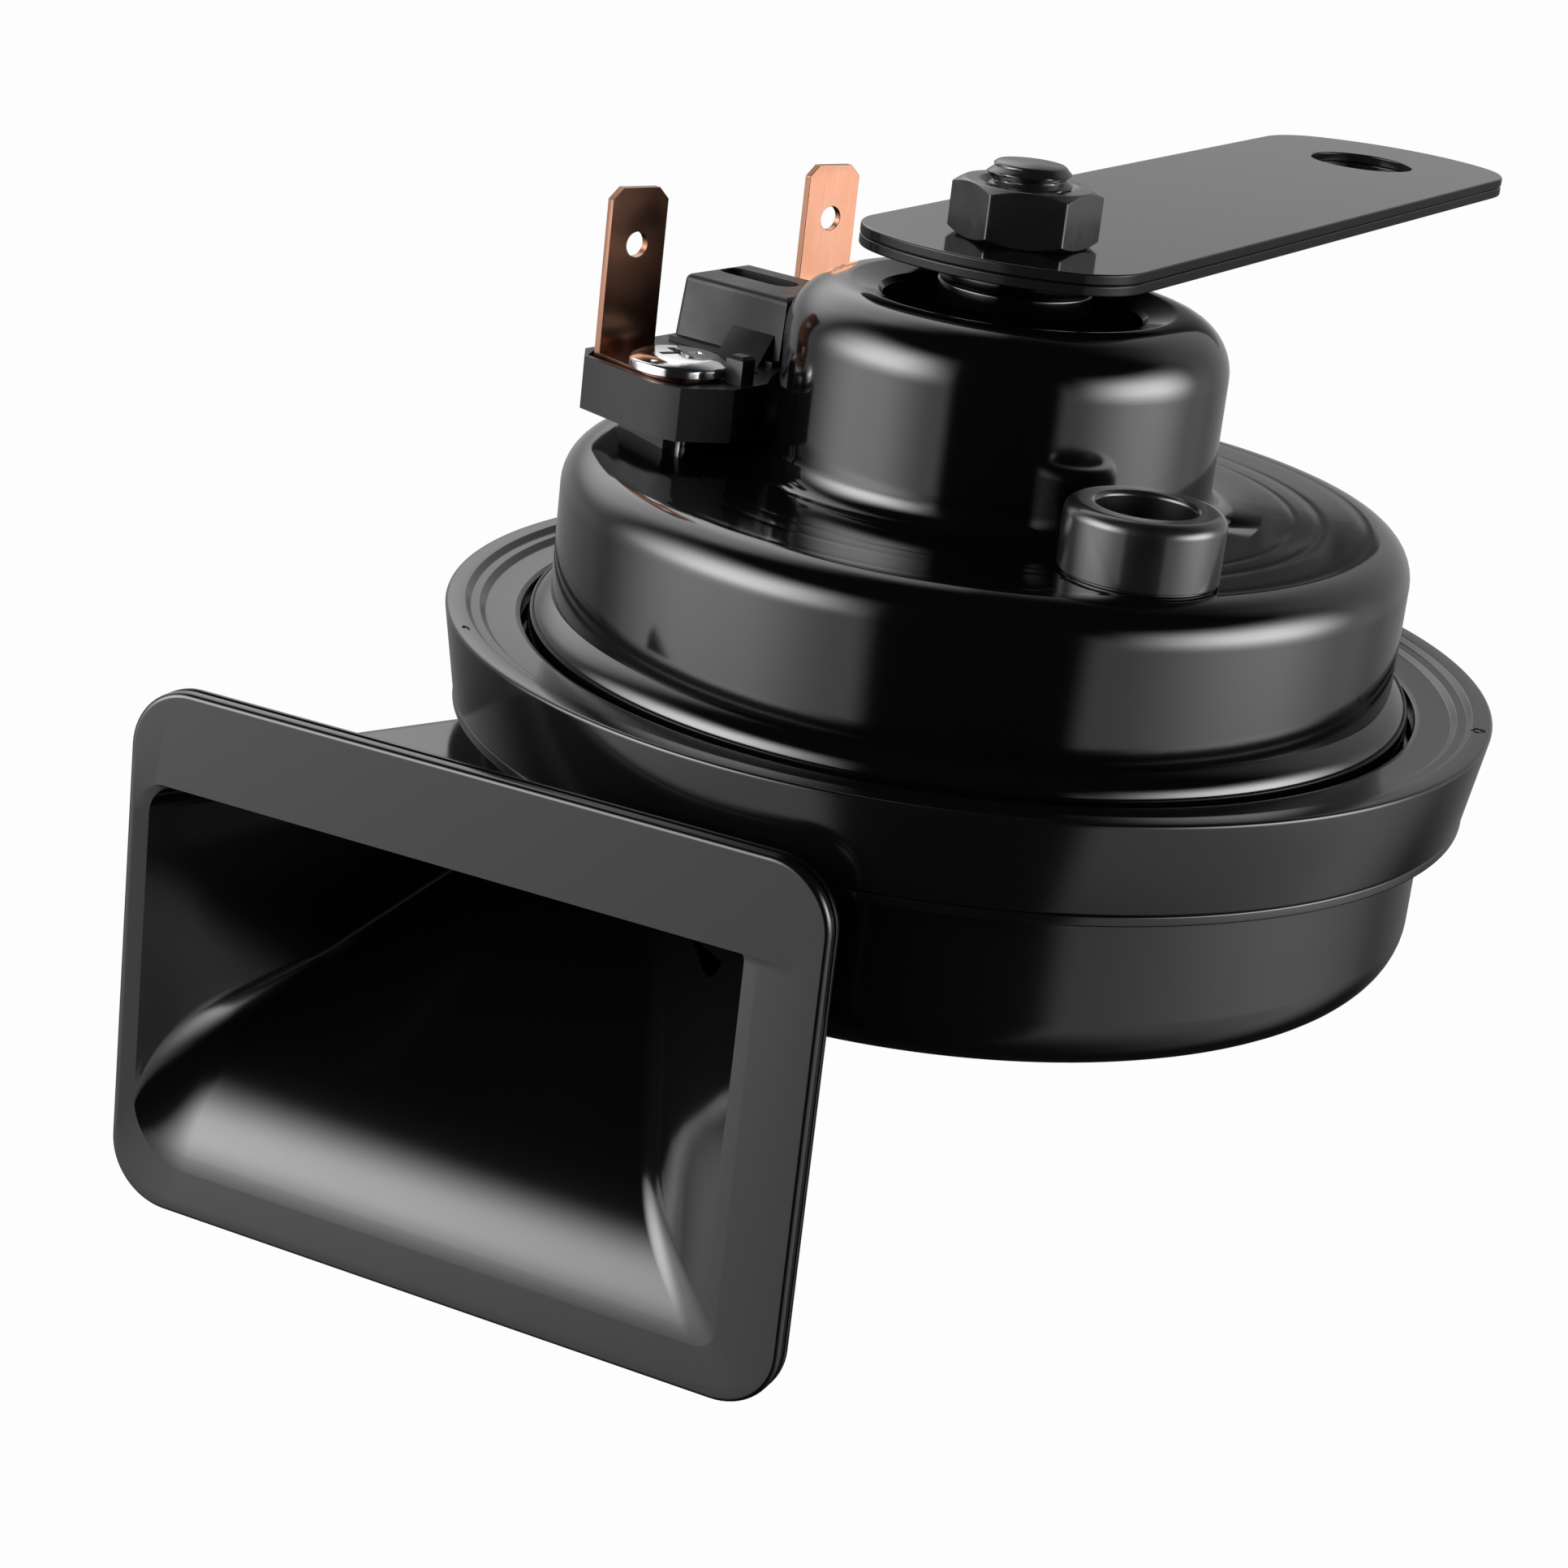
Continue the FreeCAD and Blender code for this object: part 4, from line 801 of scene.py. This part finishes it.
def make_screw_heads():
    """Two plated screws: a low domed head with a tapered cross recess.

    They stand to both sides of a point that lies at a reach and a turn from the horn's axis.
    """
    low, high = span("terminal_screws")
    reach, side, turn = 25.0, 16.1, math.radians(169.4)
    shank, head, seat = 2.0, 4.7, high[2] - 1.5
    outline = profile([
        (0.0, low[2]), (shank, low[2], 0.3), (shank, seat), (head, seat), (head, seat + 0.85, 0.45),
        (head - 1.0, high[2] - 0.08, 3.0), (0.0, high[2]),
    ], closed=False, step=6.0)
    recess_depth, recess_foot = 1.05, 0.35
    arm, half = 2.3, 0.48
    cross = np.array([
        (arm, -half), (arm, half), (half, half), (half, arm), (-half, arm), (-half, half),
        (-arm, half), (-arm, -half), (-half, -half), (-half, -arm), (half, -arm), (half, -half),
    ])
    screws = []
    for sign in (-1, 1):
        x = reach * math.cos(turn) - sign * side * math.sin(turn)
        y = reach * math.sin(turn) + sign * side * math.cos(turn)
        mesh = grid_mesh("screw", lathe(outline, 96, (x, y)), closed=False)
        twist = math.radians(20 + 35 * sign)
        spin = np.array([[math.cos(twist), math.sin(twist)], [-math.sin(twist), math.cos(twist)]])
        rows = []
        for scale, height in ((recess_foot, high[2] - recess_depth), (1.0, high[2] + 0.1)):
            plan = (cross * scale) @ spin + (x, y)
            rows.append(np.column_stack([plan, np.full(len(plan), height)]))
        mesh = carve(mesh, grid_mesh("cross", np.array(rows), closed=False, capped=True))
        screws.append(mesh)
    work = bmesh.new()
    for mesh in screws:
        work.from_mesh(mesh)
    both = bpy.data.meshes.new("plated_screws")
    work.to_mesh(both)
    work.free()
    place("plated_screws", both, "screw_chrome", "terminal_screws", sharp=30.0)


def make_from_nodes():
    """Pieces whose form is the node's own, with small bevels on their sharp edges."""
    for node, finish, bevel in (
        ("terminal_block", "block_plastic", 0.14),
        ("blade_terminal_left", "copper", 0.09), ("blade_terminal_right", "copper", 0.09),
        ("bracket_lower_leaf", "bracket_enamel", 0.2), ("bracket_upper_leaf", "bracket_enamel", 0.2),
    ):
        place(node + "_piece", whole_copy(node), finish, node, bevel=bevel)


make_case()
make_cover()
make_bell()
make_basin()
make_collar()
make_washers()
make_stud()
make_nut()
make_screw_heads()
make_from_nodes()


# Camera, floor and studio

def make_camera():
    """The photograph's view, fitted to it: an 80 mm lens, about 19 degrees above the horn."""
    forward = Vector((-0.3837, 0.8622, -0.3307)).normalized()
    right = Vector((0.8919, 0.4388, 0.1092))
    right = (right - forward * right.dot(forward)).normalized()
    up = right.cross(forward)
    data = bpy.data.cameras.new("camera")
    data.lens = 80.12
    data.sensor_width = 36.0
    data.clip_start = 0.01
    camera = bpy.data.objects.new("camera", data)
    camera.matrix_world = Matrix((right, up, -forward)).transposed().to_4x4()
    camera.location = (0.10707, -0.3764, 0.05788)
    bpy.context.scene.collection.objects.link(camera)
    bpy.context.scene.camera = camera


def make_floor():
    """A plain pale floor just under the bell, lit as a light table: it shows no shadow of its own."""
    half, level = 60.0, cad_box[0].z - MM
    corners = [(-half, -half, level), (half, -half, level), (half, half, level), (-half, half, level)]
    mesh = bpy.data.meshes.new("floor")
    mesh.from_pydata(corners, [], [(0, 1, 2, 3)])
    material = bpy.data.materials.new("pale_floor")
    material.use_nodes = True
    tree = material.node_tree
    tree.nodes.clear()
    glow = add(tree, "ShaderNodeEmission", {"Color": linear("fdfdfd"), "Strength": 1.0})
    add(tree, "ShaderNodeOutputMaterial", {"Surface": glow.outputs[0]})
    mesh.materials.append(material)
    floor = bpy.data.objects.new("floor", mesh)
    bpy.context.scene.collection.objects.link(floor)
    floor.visible_glossy = False
    floor.visible_diffuse = False
    floor.visible_shadow = False


# Soft boxes round the horn, each with the edges of its azimuth, in degrees to the right of the
# camera, then of its height, as the sine of the elevation, and its brightness. An edge is its middle
# and half its softness. The box behind is cut from the azimuth's size alone, so it is on both sides.
SOFT_BOXES = {
    "left sheet": ((-100, 20), (-26, 4), (-0.75, 0.25), (0.3, 0.25), 1.1),
    "left glow": ((-96, 22), (-48, 16), (-0.33, 0.2), (0.3, 0.25), 2.2),
    "left key": ((-90, 24), (-41, 19), (0.05, 0.22), (0.58, 0.2), 11.0),
    "right sheet": ((31, 4), (118, 18), (-0.75, 0.25), (0.3, 0.25), 0.85),
    "right glow": ((58, 20), (98, 16), (-0.33, 0.2), (0.3, 0.25), 2.0),
    "right key": ((55, 20), (101, 18), (-0.02, 0.2), (0.45, 0.2), 9.5),
    "back": ((112, 14), None, (-0.3, 0.25), (0.75, 0.2), 0.5),
    "left rear": ((-176, 10), (-124, 14), (0.28, 0.2), (0.86, 0.1), 1.6),
}
CAMERA_AZIMUTH = -68.9
DARK_ROOM = 0.012


def make_studio():
    """World light made of soft boxes by direction, dark in front so that the enamel stays black.

    A box's level is its brightness times one smooth step for each of its edges, and the boxes add up.
    """
    world = bpy.data.worlds.new("studio")
    bpy.context.scene.world = world
    world.use_nodes = True
    tree = world.node_tree
    tree.nodes.clear()
    direction = add(tree, "ShaderNodeTexCoord", {}).outputs["Generated"]
    toward = math.radians(CAMERA_AZIMUTH)
    ahead = add(tree, "ShaderNodeVectorMath", {0: direction, 1: (math.cos(toward), math.sin(toward), 0)},
                operation="DOT_PRODUCT").outputs["Value"]
    aside = add(tree, "ShaderNodeVectorMath", {0: direction, 1: (-math.sin(toward), math.cos(toward), 0)},
                operation="DOT_PRODUCT").outputs["Value"]
    azimuth = add(tree, "ShaderNodeMath", {0: aside, 1: ahead}, operation="ARCTAN2").outputs[0]
    swing = add(tree, "ShaderNodeMath", {0: azimuth}, operation="ABSOLUTE").outputs[0]
    height = add(tree, "ShaderNodeSeparateXYZ", {"Vector": direction}).outputs["Z"]

    def edge(value, middle, soft, rising=True):
        return add(tree, "ShaderNodeMapRange", {
            "Value": value, "From Min": middle - soft, "From Max": middle + soft,
            "To Min": 0.0 if rising else 1.0, "To Max": 1.0 if rising else 0.0,
        }, interpolation_type="SMOOTHSTEP").outputs["Result"]

    total = DARK_ROOM
    for start, end, bottom, top, strength in SOFT_BOXES.values():
        parts = [edge(swing if end is None else azimuth, *np.radians(start)),
                 edge(height, *bottom), edge(height, *top, rising=False)]
        if end is not None:
            parts.append(edge(azimuth, *np.radians(end), rising=False))
        level = strength
        for part in parts:
            level = add(tree, "ShaderNodeMath", {0: level, 1: part}, operation="MULTIPLY").outputs[0]
        total = add(tree, "ShaderNodeMath", {0: total, 1: level}, operation="ADD").outputs[0]
    glow = add(tree, "ShaderNodeBackground", {"Color": (1.0, 1.0, 1.0, 1.0), "Strength": total})
    add(tree, "ShaderNodeOutputWorld", {"Surface": glow.outputs[0]})


make_camera()
make_floor()
make_studio()
bpy.context.scene.view_settings.view_transform = "Standard"
